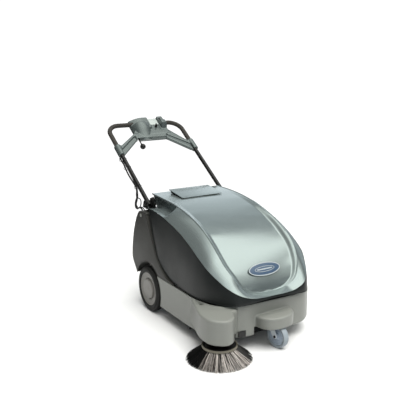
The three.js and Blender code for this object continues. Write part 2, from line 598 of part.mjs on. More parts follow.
const HOPPER = { halfWidth: 234, frontY: -112, floorZ: 78, topZ: 400 };
function hopperBin() {
  const side = outline([
    [HOPPER.frontY, HOPPER.floorZ], [186, HOPPER.floorZ, 10], [202, 110, 20], [202, 262, 40], [172, 430],
    [146, 500], [134, 500], [134, HOPPER.topZ], [HOPPER.frontY, HOPPER.topZ]]);
  const hollow = outline([
    [HOPPER.frontY - 10, 130], [HOPPER.frontY + 5, 96], [HOPPER.frontY + 20, HOPPER.floorZ + 4],
    [180, HOPPER.floorZ + 4], [190, 112], [190, 262], [160, HOPPER.topZ + 10], [HOPPER.frontY - 10, HOPPER.topZ + 10]]);
  return cut(
    sideSlab(side, -HOPPER.halfWidth, HOPPER.halfWidth, 3),
    sideSlab(hollow, -HOPPER.halfWidth + 4, HOPPER.halfWidth - 4));
}
place("hopper_bin", hopperBin(), COLOURS.body());
place("hopper_handle", join(
  box(-70, 70, 214, 222, 300, 316), box(-70, -60, 200.4, 216, 300, 316), box(60, 70, 200.4, 216, 300, 316)),
  COLOURS.black());

// ---------------------------------------------------------------- handle brackets and knobs
const PIVOT_AT = [PIVOT.y, PIVOT.z];
const EAR = outline([[92, 546 + GAP], [162, 546 + GAP], [150, 588, 14], [112, 596, 14]]);
function handleBracket() {
  const base = box(229, 267, 92, 162, 546 + GAP, 549.6);
  const ears = [229, 264].map((x) => sideSlab(EAR, x, x + 3));
  return cut(join(base, ...ears), rod("x", 225, 270, 5.6, PIVOT_AT, 16));
}

// Star knob on the stud that clamps the tube between the bracket's ears, with its outer nut.
function starKnob() {
  const stud = turned([
    [0, 227], [5, 227], [5, 267.4], [11, 267.4], [11, 273], [6, 276], [0, 276]], 16, "x");
  const lobes = new THREE.Shape();
  const points = 32;
  for (let i = 0; i < points; i += 1) {
    const angle = (i / points) * Math.PI * 2;
    const radius = 31 + 3 * Math.cos(8 * angle);
    lobes[i ? "lineTo" : "moveTo"](radius * Math.cos(angle), radius * Math.sin(angle));
  }
  return join(sideSlab(lobes, 214, 228), stud);
}
for (const [side, label] of [[-1, "right"], [1, "left"]]) {
  const facing = (geometry) => (side > 0 ? geometry : toGeometry(toSolid(geometry).mirror([1, 0, 0])));
  place(`handle_bracket_${label}`, facing(handleBracket()), COLOURS.black());
  place(`star_knob_${label}`, facing(starKnob().translate(0, ...PIVOT_AT)), COLOURS.black());
}

// ---------------------------------------------------------------- handle
// Inside this group Y runs up along the tubes from the pivot and Z stands out of the handle's plane.
const handle = new THREE.Group();
handle.position.set(0, PIVOT.y, PIVOT.z);
handle.rotation.x = THREE.MathUtils.degToRad(HANDLE_LEAN);
machine.add(handle);
const SPLIT = 443;                     // where the lower tubes meet the grip loop
const CLAMP = [403, 488];
const BEND = 77;

for (const [side, label] of [[-1, "right"], [1, "left"]]) {
  const tube = turned([
    [9.4, -14], [LOWER_RADIUS, -14], [LOWER_RADIUS, CLAMP[0] - 2], [TUBE_RADIUS, CLAMP[0]],
    [TUBE_RADIUS, SPLIT - 0.3], [9.4, SPLIT - 0.3], [9.4, -14]], 16)
    .rotateX(-Math.PI / 2).translate(side * HANDLE_X, 0, 0);
  const hole = rod("x", -290, 290, 5.6, [0, 0], 16);
  place(`lower_tube_${label}`, cut(tube, hole), COLOURS.black(), handle);
}

function gripLoop() {
  const rise = PIVOT_TO_GRIP - BEND;
  const quarter = [15, 30, 45, 60, 75].map((degrees) => {
    const angle = THREE.MathUtils.degToRad(degrees);
    return [HANDLE_X - BEND + BEND * Math.cos(angle), rise + BEND * Math.sin(angle), 0];
  });
  const half = [
    [HANDLE_X, SPLIT, 0], [HANDLE_X, 520, 0], [HANDLE_X, rise, 0], ...quarter,
    [HANDLE_X - BEND, PIVOT_TO_GRIP, 0], [100, PIVOT_TO_GRIP, 0]];
  return pipe([...half, ...half.toReversed().map(([x, y, z]) => [-x, y, z])], TUBE_RADIUS, 40, 4);
}
place("grip_loop", gripLoop(), COLOURS.grip(), handle);

const SADDLE = { x0: 30, x1: 98, n: 17 };
const HORN = 31;                       // rear of the console's two horns above the handle's plane
const VISOR = 52;                      // their raised front part
const BUTTON = { x: 110, y: 680, radius: 6 };

function consoleHousing() {
  const arms = slab(outline([
    [104, 534, 10], [226, 412], [232, 412], [232, 486], [222, 486, 4], [138, 602, 14], [100, 650],
    [-60, 650], [-104, 578, 14], [-222, 484, 4], [-232, 484], [-232, 412], [-226, 412], [-96, 534, 10]]),
    -17, 13, 3);
  const block = frontSlab(outline([
    [-94, -20, 8], [136, -20, 8], [136, VISOR - 10, 8], [124, VISOR, 6], [SADDLE.x1, VISOR, 4],
    [SADDLE.x1, SADDLE.n], [SADDLE.x0, SADDLE.n], [SADDLE.x0, VISOR, 6], [-20, VISOR, 40], [-94, 10, 24]]),
    560, 706, 4);
  const beforeVisor = sideSlab(outline([
    [550, SADDLE.n], [606, SADDLE.n], [632, VISOR, 6], [632, 70], [550, 70]]), -100, 140);
  const behindVisor = sideSlab(outline([
    [650, 70], [650, VISOR], [664, HORN], [710, HORN], [710, 70]]), -100, 140);
  const hornCorner = slab(outline([[-100, 600], [-22, 600], [-58, 618, 20], [-94, 668], [-100, 668]]),
    SADDLE.n, 70, 3);
  const chin = slab(outline([[-100, 532, 10], [104, 532, 10], [124, 575], [-112, 575]]), -19, 16, 3);
  const sleeves = [-1, 1].map((side) => rod("y", ...CLAMP, 21, [side * HANDLE_X, 0], 20));
  const slope = sideSlab(outline([[540, 14], [610, 40], [540, 60]]), -140, 150);
  const tubeBores = [-1, 1].map((side) => rod("y", CLAMP[0] - 5, CLAMP[1] + 5, 14.5, [side * HANDLE_X, 0], 20));
  const gripBore = rod("x", -140, 150, 14.6, [PIVOT_TO_GRIP, 0], 20);
  const leverSlot = box(-94, -78, 500, 562, -30, 10);
  const buttonHole = rod("z", HORN - 7, HORN + 5, BUTTON.radius + 0.5, [BUTTON.x, BUTTON.y], 12);
  const ballRoom = box(-106, -66, 440, 506, -40, 30);
  const horns = cut(block, beforeVisor, behindVisor, hornCorner);
  return cut(join(arms, horns, chin, ...sleeves), slope, gripBore, leverSlot, ballRoom, buttonHole,
    ...tubeBores);
}
place("console_housing", consoleHousing(), COLOURS.console(), handle);
place("display_panel", slab(outline([
  [SADDLE.x0 + 5, 640, 4], [SADDLE.x1 - 5, 640, 4], [SADDLE.x1 - 5, 700, 4], [SADDLE.x0 + 5, 700, 4]]),
  SADDLE.n + GAP, SADDLE.n + 3), COLOURS.blue(), handle);
place("key_switch", join(
  rod("z", SADDLE.n + GAP, SADDLE.n + 8, 8, [64, 622], 16),
  box(62.5, 65.5, 610, 634, SADDLE.n + 7, SADDLE.n + 22)), COLOURS.black(), handle);
place("start_button", rod("z", HORN - 2, HORN + 4, BUTTON.radius, [BUTTON.x, BUTTON.y], 12),
  COLOURS.black(), handle);

const LEVER = { x: -86, pivot: 548, ball: 468 };
place("brush_lever", join(
  rod("y", LEVER.ball + 10, LEVER.pivot, 4, [LEVER.x, 0], 12),
  rod("x", LEVER.x - 7, LEVER.x + 7, 7, [LEVER.pivot, 0], 16),
  new THREE.SphereGeometry(17, 14, 10).translate(LEVER.x, LEVER.ball, 0)), COLOURS.black(), handle);

place("control_cable", pipe([
  [-256, 398, -20.5], [-262, 370, -19], [-270, 330, -12], [-276, 285, -8], [-272, 230, -10],
  [-276, 177, -8], [-272, 130, -11], [-274, 100, -26]], 5, 20, 3), COLOURS.rubber(), handle);

// Slack of the cable between the handle and the body.
place("cable_loop", pipe([
  [-288, 224.5, 603.8], [-288, 219.5, 594], [-288, 222, 566], [-288, 216, 542], [-287, 192, 534],
  [-285, 162, 548], [-285, 138, 542], [-285, 122.6, 529.1]], 4.4, 18, 3), COLOURS.rubber());

// ---------------------------------------------------------------- finished part
const bounds = new THREE.Box3().setFromObject(machine);
const middle = bounds.getCenter(new THREE.Vector3());
machine.position.set(-middle.x, -middle.y, -bounds.min.z);
machine.updateMatrixWorld(true);
export default machine;
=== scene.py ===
"""Walk-behind sweeper: the looks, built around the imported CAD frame.

Shapes are written in the machine frame, in millimetres: X is lateral (the machine's right-hand side is -X),
-Y is forwards, Z is up, and the origin is the floor point under the middle of the rear axle.
"""
import math
import random

import bmesh
import bpy
import numpy as np
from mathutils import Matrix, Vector


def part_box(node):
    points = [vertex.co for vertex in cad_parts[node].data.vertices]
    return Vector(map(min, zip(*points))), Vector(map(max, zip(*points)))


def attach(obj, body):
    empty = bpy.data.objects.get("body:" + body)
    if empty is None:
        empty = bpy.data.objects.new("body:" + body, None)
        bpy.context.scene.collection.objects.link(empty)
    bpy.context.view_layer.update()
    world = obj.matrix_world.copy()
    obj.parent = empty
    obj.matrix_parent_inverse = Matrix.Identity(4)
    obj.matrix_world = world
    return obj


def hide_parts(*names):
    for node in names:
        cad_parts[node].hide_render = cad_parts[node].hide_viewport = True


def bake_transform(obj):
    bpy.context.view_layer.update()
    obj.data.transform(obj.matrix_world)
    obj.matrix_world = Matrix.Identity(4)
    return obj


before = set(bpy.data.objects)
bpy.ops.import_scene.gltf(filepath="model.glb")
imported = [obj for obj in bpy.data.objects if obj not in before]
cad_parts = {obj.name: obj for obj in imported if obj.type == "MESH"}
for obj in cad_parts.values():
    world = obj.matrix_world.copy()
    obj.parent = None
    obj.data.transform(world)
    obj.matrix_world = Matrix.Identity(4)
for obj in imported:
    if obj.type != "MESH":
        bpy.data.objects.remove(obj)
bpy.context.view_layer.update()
random.seed(4)

# ---------------------------------------------------------------- frames
right_tyre, left_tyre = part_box("tyre_right"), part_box("tyre_left")
ORIGIN = np.array([
    (right_tyre[0].x + left_tyre[1].x) / 2, (right_tyre[0].y + right_tyre[1].y) / 2, 0.0])
SIDES = ((-1, "right"), (1, "left"))
REAR_AXLE = (0, 125)                        # y and z
PIVOT = (127.0, 572.0)                      # y and z of the handle's pivot
LEAN = math.radians(33)                     # of the handle's tubes above level


def rows_of(points):
    return np.asarray(points, float).reshape(-1, 3)


def to_row(points):
    """Machine millimetres to row metres."""
    return rows_of(points) / 1000 + ORIGIN


def from_handle(points):
    """(x, along the tubes from the pivot, out of the handle's plane) to the machine frame."""
    p = rows_of(points)
    y = PIVOT[0] + p[:, 1] * math.cos(LEAN) - p[:, 2] * math.sin(LEAN)
    z = PIVOT[1] + p[:, 1] * math.sin(LEAN) + p[:, 2] * math.cos(LEAN)
    return np.column_stack([p[:, 0], y, z])


CASTOR_AT = (-2.0, -711.0)
CASTOR_TURN = math.radians(9)


def from_castor(points):
    """From the castor's own frame, with the swivel at the origin, to the machine frame."""
    p = rows_of(points)
    c, s = math.cos(CASTOR_TURN), math.sin(CASTOR_TURN)
    return np.column_stack([
        CASTOR_AT[0] + p[:, 0] * c - p[:, 1] * s, CASTOR_AT[1] + p[:, 0] * s + p[:, 1] * c, p[:, 2]])


# ---------------------------------------------------------------- shape helpers; a shape is (points, faces)
MIRROR = np.array([-1, 1, 1])


def merge(*shapes):
    points, faces, count = [], [], 0
    for p, f in shapes:
        points.append(rows_of(p))
        faces += [[i + count for i in face] for face in f]
        count += len(points[-1])
    return np.vstack(points), faces


def mirrored(shape):
    return np.asarray(shape[0]) * MIRROR, [list(reversed(f)) for f in shape[1]]


def on_side(side, shape):
    """A shape drawn for the machine's left (side 1), or its mirror image for the right (side -1)."""
    return shape if side > 0 else mirrored(shape)


class Spline:
    """Centripetal Catmull-Rom spline through points; at(u) runs by control point, 0 to 1."""

    def __init__(self, points):
        self.p = np.asarray(points, float)

    def at(self, u):
        p, last = self.p, len(self.p) - 1
        x = min(max(u, 0.0), 1.0) * last
        i = min(int(x), last - 1)
        t = x - i
        p1, p2 = p[i], p[i + 1]
        p0 = p[i - 1] if i > 0 else 2 * p1 - p2
        p3 = p[i + 2] if i + 2 <= last else 2 * p2 - p1
        d0, d1, d2 = (max(np.linalg.norm(b - a), 1e-9) ** 0.5 for a, b in ((p0, p1), (p1, p2), (p2, p3)))
        m1 = ((p1 - p0) / d0 - (p2 - p0) / (d0 + d1) + (p2 - p1) / d1) * d1
        m2 = ((p2 - p1) / d1 - (p3 - p1) / (d1 + d2) + (p3 - p2) / d2) * d1
        return (p1 + m1 * t + (3 * (p2 - p1) - 2 * m1 - m2) * t ** 2
                + (2 * (p1 - p2) + m1 + m2) * t ** 3)

    def tangent(self, u):
        d = self.at(min(u + 1e-3, 1)) - self.at(max(u - 1e-3, 0))
        return d / max(np.linalg.norm(d), 1e-9)

    def sample(self, count):
        return [self.at(i / (count - 1)) for i in range(count)]


def grid(rows, wrap_rows=False, wrap_columns=False):
    """Faces over a grid of points, [row][column]."""
    n, m = len(rows), len(rows[0])
    faces = []
    for r in range(n if wrap_rows else n - 1):
        for c in range(m if wrap_columns else m - 1):
            a, b = r * m + c, r * m + (c + 1) % m
            d, e = ((r + 1) % n) * m + c, ((r + 1) % n) * m + (c + 1) % m
            faces.append([a, b, e, d])
    return rows_of(rows), faces


def outline(corners, segments=6):
    """Closed 2-D outline from (x, y, radius) corners; radii are clamped to the sides next to them."""
    result = []
    count = len(corners)
    for i, corner in enumerate(corners):
        here = np.array(corner[:2], float)
        wanted = corner[2] if len(corner) > 2 else 0
        before = np.array(corners[i - 1][:2], float) - here
        after = np.array(corners[(i + 1) % count][:2], float) - here
        radius = min(wanted, 0.48 * np.linalg.norm(before), 0.48 * np.linalg.norm(after))
        if radius <= 0:
            result.append(here)
            continue
        a = here + before / np.linalg.norm(before) * radius
        b = here + after / np.linalg.norm(after) * radius
        for k in range(segments + 1):
            t = k / segments
            result.append((1 - t) ** 2 * a + 2 * t * (1 - t) * here + t ** 2 * b)
    return np.array(result)


def rectangle(x0, x1, y0, y1, radius=0):
    return [(x0, y0, radius), (x1, y0, radius), (x1, y1, radius), (x0, y1, radius)]


def with_mirror(half):
    return list(half) + [(-c[0], *c[1:]) for c in reversed(half)]


def crossing(p, along_p, q, along_q):
    """Where two lines meet, or the point midway when they run the same way."""
    turn = along_p[0] * along_q[1] - along_p[1] * along_q[0]
    if abs(turn) < 1e-4:
        return (p + q) / 2
    gap = q - p
    return p + along_p * (gap[0] * along_q[1] - gap[1] * along_q[0]) / turn


def offset(loop, by):
    """Outline moved inwards; sides that would turn over shrink to the corner between their neighbours."""
    loop = np.asarray(loop, float)
    count = len(loop)
    area = np.sum(loop[:, 0] * np.roll(loop[:, 1], -1) - np.roll(loop[:, 0], -1) * loop[:, 1])
    sign = 1.0 if area > 0 else -1.0
    forward = np.roll(loop, -1, 0) - loop
    forward /= np.maximum(np.linalg.norm(forward, axis=1, keepdims=True), 1e-9)
    normal = np.column_stack([-forward[:, 1], forward[:, 0]]) * sign
    mean = normal + np.roll(normal, 1, 0)
    mean /= np.maximum(np.linalg.norm(mean, axis=1, keepdims=True), 1e-9)
    stretch = 1 / np.clip(np.sum(mean * normal, axis=1), 0.6, 1)
    result = loop + mean * stretch[:, None] * by
    turned = np.sum((np.roll(result, -1, 0) - result) * forward, axis=1) <= 1e-6
    if turned.all() or not turned.any():
        return result
    first = int(np.argmin(turned))
    step = 1
    while step < count:
        i, run = (first + step) % count, 0
        while turned[(i + run) % count]:
            run += 1
        if run:
            before, after = (i - 1) % count, (i + run) % count
            corner = crossing(result[before], forward[before], result[after], forward[after])
            for j in range(run + 1):
                result[(i + j) % count] = corner
        step += run + 1
    return result


AXES = {
    "z": lambda a, b, h: (a, b, h),
    "x": lambda a, b, h: (h, a, b),
    "y": lambda a, b, h: (a, h, b),
}


def slab(loop, lo, hi, low_edge=0.0, high_edge=0.0, axis="z", steps=4):
    """Outline raised between two heights, with a rounded edge at either end."""
    levels = []
    angles = [math.pi / 2 * k / steps for k in range(steps + 1)]
    if low_edge > 0:
        levels += [(low_edge * (1 - math.sin(a)), lo + low_edge * (1 - math.cos(a))) for a in angles]
    else:
        levels.append((0.0, lo))
    if high_edge > 0:
        levels += [(high_edge * (1 - math.cos(a)), hi - high_edge * (1 - math.sin(a))) for a in angles]
    else:
        levels.append((0.0, hi))
    put = AXES[axis]
    rows = []
    for by, height in levels:
        ring = offset(loop, by) if by > 0 else np.asarray(loop, float)
        rows.append([put(a, b, height) for a, b in ring])
    points, faces = grid(rows, wrap_columns=True)
    m = len(rows[0])
    faces.append(list(range(m)))
    faces.append(list(range((len(rows) - 1) * m, len(rows) * m)))
    return points, faces


def block(x0, x1, y0, y1, z0, z1, edge=0.8):
    edge = min(edge, 0.3 * min(x1 - x0, y1 - y0, z1 - z0))
    return slab(outline(rectangle(x0, x1, y0, y1, edge * 1.5), 3), z0, z1, edge, edge, steps=3)


def revolve(profile, segments=64, axis="z", at=(0, 0, 0), closed=False):
    """Profile of (radius, height) turned about an axis through a point."""
    put = AXES[axis]
    angles = [2 * math.pi * k / segments for k in range(segments)]
    rows = [[put(r * math.cos(a), r * math.sin(a), h) for a in angles] for r, h in profile]
    points, faces = grid(rows, wrap_rows=closed, wrap_columns=True)
    return points + np.array(at, float), faces


def softened(profile, radius=1.5, steps=3):
    """Open profile with its corners rounded."""
    result = [np.array(profile[0], float)]
    for i in range(1, len(profile) - 1):
        here = np.array(profile[i], float)
        before = np.array(profile[i - 1], float) - here
        after = np.array(profile[i + 1], float) - here
        lb, la = np.linalg.norm(before), np.linalg.norm(after)
        r = min(radius, 0.45 * lb, 0.45 * la)
        a, b = here + before / max(lb, 1e-9) * r, here + after / max(la, 1e-9) * r
        for k in range(steps + 1):
            t = k / steps
            result.append((1 - t) ** 2 * a + 2 * t * (1 - t) * here + t ** 2 * b)
    result.append(np.array(profile[-1], float))
    return [tuple(p) for p in result]


def frames_along(path, closed=False):
    """Two directions square to the path at each of its points, turning as little as they can."""
    path = np.asarray(path, float)
    tangents = np.roll(path, -1, 0) - np.roll(path, 1, 0)
    if not closed:
        tangents[0], tangents[-1] = path[1] - path[0], path[-1] - path[-2]
    tangents /= np.maximum(np.linalg.norm(tangents, axis=1, keepdims=True), 1e-9)
    side = np.cross(tangents[0], (0, 0, 1))
    if np.linalg.norm(side) < 0.2:
        side = np.cross(tangents[0], (1, 0, 0))
    side /= np.linalg.norm(side)
    result = []
    for t in tangents:
        side = side - t * np.dot(side, t)
        side /= np.linalg.norm(side)
        result.append((side, np.cross(t, side)))
    return result


def tube(path, radius, sides=16, closed=False):
    """Tube along points; radius is a number or a function of the point's index."""
    path = np.asarray(path, float)
    rows = []
    for i, (p, (a, b)) in enumerate(zip(path, frames_along(path, closed))):
        r = radius(i) if callable(radius) else radius
        rows.append([p + a * r * math.cos(2 * math.pi * k / sides) + b * r * math.sin(2 * math.pi * k / sides)
                     for k in range(sides)])
    points, faces = grid(rows, wrap_rows=closed, wrap_columns=True)
    if not closed:
        faces.append(list(range(sides)))
        faces.append(list(range((len(rows) - 1) * sides, len(rows) * sides)))
    return points, faces


def rod(axis, lo, hi, radius, at, segments=32, edge=0.6):
    """Cylinder with softened ends; at is the place in the other two axes."""
    edge = min(edge, radius * 0.4, (hi - lo) * 0.4)
    flat = radius - edge
    profile = [(0, lo), (flat, lo), (radius, lo + edge), (radius, hi - edge), (flat, hi), (0, hi)]
    place = {"z": (at[0], at[1], 0), "x": (0, at[0], at[1]), "y": (at[0], 0, at[1])}[axis]
    return revolve(profile, segments, axis, place)


# ---------------------------------------------------------------- meshes
def linked(name, data):
    """A new object of this data, in the scene."""
    obj = bpy.data.objects.new(name, data)
    bpy.context.scene.collection.objects.link(obj)
    return obj


def mesh_from(shape):
    mesh = bpy.data.meshes.new("temporary")
    mesh.from_pydata(rows_of(shape[0]).tolist(), [], [list(f) for f in shape[1]])
    bm = bmesh.new()
    bm.from_mesh(mesh)
    bmesh.ops.remove_doubles(bm, verts=bm.verts, dist=1e-4)
    bmesh.ops.dissolve_degenerate(bm, edges=bm.edges, dist=1e-4)
    bmesh.ops.recalc_face_normals(bm, faces=bm.faces)
    bm.to_mesh(mesh)
    bm.free()
    return mesh


def shape_from(mesh):
    points = np.zeros(len(mesh.vertices) * 3)
    mesh.vertices.foreach_get("co", points)
    return rows_of(points), [list(p.vertices) for p in mesh.polygons]


def through_modifiers(shape, *settings):
    """The shape after modifiers given as (type, {values}); object values are shapes."""
    helpers = []

    def temporary(s):
        helpers.append(linked("temporary", mesh_from(s)))
        return helpers[-1]

    obj = temporary(shape)
    for kind, values in settings:
        modifier = obj.modifiers.new(kind, kind)
        for key, value in values.items():
            setattr(modifier, key, temporary(value) if key == "object" else value)
    bpy.context.view_layer.update()
    evaluated = obj.evaluated_get(bpy.context.evaluated_depsgraph_get())
    mesh = bpy.data.meshes.new_from_object(evaluated)
    result = shape_from(mesh)
    bpy.data.meshes.remove(mesh)
    for helper in helpers:
        data = helper.data
        bpy.data.objects.remove(helper)
        bpy.data.meshes.remove(data)
    return result


def taking(*tools):
    return [("DIFFERENCE", tool) for tool in tools]


def adding(*tools):
    return [("UNION", tool) for tool in tools]


def combined(shape, *steps):
    """Booleans one after another, without a clean-up between them."""
    return through_modifiers(shape, *[
        ("BOOLEAN", {"operation": kind, "solver": "MANIFOLD", "object": tool}) for kind, tool in steps])


def cut(shape, *tools):
    return combined(shape, *taking(*tools))


def melted(shape, voxel, repeats):
    """Remeshed at a voxel size and smoothed, which rounds every edge as moulding does."""
    return through_modifiers(
        shape, ("REMESH", {"mode": "VOXEL", "voxel_size": voxel, "adaptivity": 0.0}),
        ("SMOOTH", {"factor": 0.5, "iterations": repeats}))


def piece(name, shape, material, body, replaces=(), sharp=32, function=None, chosen=None):
    """A finished piece that rides on a body and stands for CAD nodes.

    sharp is the angle above which an edge stays crisp, function places the points in the machine frame, and
    chosen gives each face its material.
    """
    points = shape[0] if function is None else function(shape[0])
    mesh = bpy.data.meshes.new(name)
    mesh.from_pydata(to_row(points).tolist(), [], [list(f) for f in shape[1]])
    if chosen is not None:
        mesh.polygons.foreach_set("material_index", chosen)
    bm = bmesh.new()
    bm.from_mesh(mesh)
    bmesh.ops.remove_doubles(bm, verts=bm.verts, dist=2e-7)
    bmesh.ops.recalc_face_normals(bm, faces=bm.faces)
    limit = math.radians(sharp)
    for edge in bm.edges:
        edge.smooth = len(edge.link_faces) == 2 and edge.calc_face_angle(0) < limit
    for face in bm.faces:
        face.smooth = True
    bm.to_mesh(mesh)
    bm.free()
    for one in (material if isinstance(material, list) else [material]):
        mesh.materials.append(one)
    obj = linked(name, mesh)
    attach(obj, body)
    if replaces:
        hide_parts(*replaces)
    return obj


# ---------------------------------------------------------------- materials
def linear(srgb):
    return [((c / 255) / 12.92 if c <= 10 else (((c / 255) + 0.055) / 1.055) ** 2.4) for c in srgb] + [1.0]


def shade(base, factor):
    return [min(c * factor, 1) for c in base[:3]] + [1]


class Nodes:
    """Shorthand for building a node tree. An input is another node's socket, or a plain value."""

    def __init__(self, tree):
        self.tree = tree

    def feed(self, socket, value):
        if isinstance(value, bpy.types.NodeSocket):
            self.tree.links.new(value, socket)
        else:
            socket.default_value = value

    def add(self, kind, inputs=None, **settings):
        node = self.tree.nodes.new(kind)
        for key, value in settings.items():
            setattr(node, key, value)
        for key, value in (inputs or {}).items():
            self.feed(node.inputs[key], value)
        return node

    def ramp(self, factor, stops):
        node = self.add("ShaderNodeValToRGB", {"Fac": factor})
        elements = node.color_ramp.elements
        while len(elements) < len(stops):
            elements.new(0.5)
        for element, (position, colour) in zip(elements, stops):
            element.position = position
            element.color = colour
        return node.outputs["Color"]

    def range(self, value, low, high, to_low, to_high, kind="LINEAR"):
        return self.add("ShaderNodeMapRange", {
            "Value": value, "From Min": low, "From Max": high, "To Min": to_low, "To Max": to_high},
            interpolation_type=kind).outputs["Result"]

    def mix(self, factor, a, b):
        return self.add("ShaderNodeMix", {0: factor, 6: a, 7: b}, data_type="RGBA").outputs[2]

    def math(self, operation, a, b=0.0):
        return self.add("ShaderNodeMath", {0: a, 1: b}, operation=operation).outputs[0]


class Surface(Nodes):
    """A material's nodes."""

    def __init__(self, name):
        self.material = bpy.data.materials.new(name)
        self.material.use_nodes = True
        super().__init__(self.material.node_tree)
        self.shader = self.tree.nodes["Principled BSDF"]
        self.place = self.add("ShaderNodeTexCoord").outputs["Object"]

    def set(self, **values):
        """Inputs of the shader; an underscore stands for a space."""
        for name, value in values.items():
            self.feed(self.shader.inputs[name.replace("_", " ")], value)

    def noise(self, scale, detail=3.0, roughness=0.55, vector=None):
        return self.add("ShaderNodeTexNoise", {
            "Vector": vector or self.place, "Scale": scale, "Detail": detail,
            "Roughness": roughness}).outputs["Fac"]

    def bump(self, height, distance, strength=0.5, soft_edge=0.0):
        inputs = {"Height": height, "Distance": distance, "Strength": strength}
        if soft_edge:
            bevel = self.add("ShaderNodeBevel", {"Radius": soft_edge}, samples=4)
            inputs["Normal"] = bevel.outputs["Normal"]
        self.set(Normal=self.add("ShaderNodeBump", inputs).outputs["Normal"])


def moulded(name, colour, roughness=0.4, grain=900.0, depth=0.00012, variation=0.08, soft_edge=0.0,
            coat=0.0, metallic=0.0, dust=0.06, shine=0.5):
    """Moulded or painted surface: cloudy colour, fine grain, dust in the broad patches."""
    n = Surface(name)
    base = linear(colour)
    cloud = n.noise(7.0, 4.0, 0.6)
    fine = n.noise(grain, 2.0, 0.6)
    specks = n.noise(grain * 0.35, 3.0, 0.7)
    tone = n.ramp(cloud, [(0.3, shade(base, 1 - variation)), (0.7, shade(base, 1 + variation))])
    dusty = linear([min(c + 38, 255) for c in colour])
    uneven = n.math("ADD", n.math("MULTIPLY", cloud, 0.5), n.math("MULTIPLY", specks, 0.5))
    n.set(Base_Color=n.mix(n.range(specks, 0.35, 0.75, 0.0, dust * 2), tone, dusty),
          Roughness=n.range(uneven, 0.35, 0.65, max(roughness - 0.06, 0.05), min(roughness + 0.07, 1)),
          Metallic=metallic, Specular_IOR_Level=shine, Coat_Weight=coat, Coat_Roughness=0.12)
    n.bump(n.math("ADD", fine, n.math("MULTIPLY", specks, 0.6)), depth, 0.6, soft_edge)
    return n.material


def plated(name, colour, roughness=0.25, soft_edge=0.0008):
    """Bright metal, streaked along z."""
    n = Surface(name)
    base = linear(colour)
    cloud = n.noise(30.0, 3.0)
    stretched = n.add("ShaderNodeMapping", {"Vector": n.place, "Scale": (1, 1, 14)}).outputs["Vector"]
    streak = n.add("ShaderNodeTexNoise", {"Vector": stretched, "Scale": 220.0, "Detail": 3.0}).outputs["Fac"]
    n.set(Base_Color=n.ramp(cloud, [(0.3, shade(base, 0.86)), (0.7, base)]),
          Roughness=n.range(streak, 0.3, 0.7, roughness - 0.07, roughness + 0.1), Metallic=1.0)
    n.bump(streak, 0.00006, 0.5, soft_edge)
    return n.material


def rubbery(name, colour, roughness=0.75, depth=0.00025, variation=0.14, soft_edge=0.0, shine=0.3):
    """Rubber or foam, scuffed in places."""
    n = Surface(name)
    base = linear(colour)
    cloud = n.noise(16.0, 5.0, 0.65)
    scuffs = n.noise(140.0, 4.0, 0.7)
    tone = n.ramp(cloud, [(0.25, shade(base, 1 - variation)), (0.75, shade(base, 1 + variation))])
    scuffed = linear([min(c + 30, 255) for c in colour])
    n.set(Base_Color=n.mix(n.range(scuffs, 0.55, 0.8, 0.0, 0.25), tone, scuffed),
          Roughness=n.range(scuffs, 0.3, 0.7, roughness - 0.08, min(roughness + 0.12, 1)),
          Specular_IOR_Level=shine)
    n.bump(n.math("ADD", scuffs, n.noise(1100.0, 2.0)), depth, 0.6, soft_edge)
    return n.material


HOOD = moulded("hood_plastic", (138, 149, 149), 0.20, 1400, 0.00004, 0.03, dust=0.02, metallic=0.75)
SKIRT = moulded("skirt_plastic", (15, 19, 19), 0.42, 1000, 0.00008, 0.06, dust=0.03, shine=0.28)
BODY = moulded("body_plastic", (114, 116, 111), 0.36, 800, 0.00012, 0.04, 0.0025, dust=0.04)
# The rear pillars are the body's plastic painted far darker: painted shade on the pillars.
PILLAR_PAINTED_SHADE = moulded("pillar_plastic_painted_shade", (41, 41, 38), 0.45, 800, 0.00012, 0.04, 0.0025, dust=0.04, shine=0.25)
BLACK = moulded("black_plastic", (17, 17, 17), 0.42, 900, 0.0001, 0.1, 0.0008, dust=0.03, shine=0.4)
BLACK_STEEL = moulded("black_steel", (15, 15, 15), 0.36, 500, 0.00006, 0.1, 0.0008, dust=0.02, shine=0.35)
PLATED = plated("plated_steel", (196, 200, 204))
ZINC = moulded("zinc_pressing", (196, 203, 208), 0.38, 900, 0.00003, 0.05, metallic=0.15)
RUBBER = rubbery("rubber", (20, 20, 20), 0.75, soft_edge=0.0008)
CABLE = rubbery("cable_sleeve", (14, 14, 14), 0.5)
TYRE = rubbery("rear_tyre", (24, 24, 23), 0.65)
HUB = moulded("hub_plastic", (112, 110, 106), 0.42, 700, 0.00012, 0.04)
CASTOR_TYRE = rubbery("castor_tyre", (132, 140, 146), 0.55, variation=0.05)
CASTOR_HUB = moulded("castor_plastic", (146, 158, 172), 0.28, 700, 0.00008, 0.06, metallic=0.3)
GRIP = rubbery("grip_foam", (53, 51, 48), 0.8, 0.0005, 0.08)
CONSOLE = moulded("console_plastic", (90, 98, 97), 0.3, 900, 0.000012, 0.03, 0.0015, dust=0.01, metallic=0.5)
DISPLAY = moulded("display", (150, 157, 154), 0.25, 1500, 0.00002, 0.03)
BADGE_BLUE = moulded("badge", (52, 72, 94), 0.3, 1200, 0.00003, 0.05, coat=0.2)
BADGE_RIM = moulded("badge_rim", (150, 157, 160), 0.3, 1200, 0.00003, 0.03)
RING = moulded("ring_plastic", (96, 92, 80), 0.5, 800, 0.0001, 0.06)
BATTERY = moulded("battery_case", (30, 32, 34), 0.5, 700, 0.0001, 0.08, 0.001)
ORANGE = moulded("orange_plastic", (178, 96, 40), 0.45, 800, 0.0001, 0.06, 0.001)


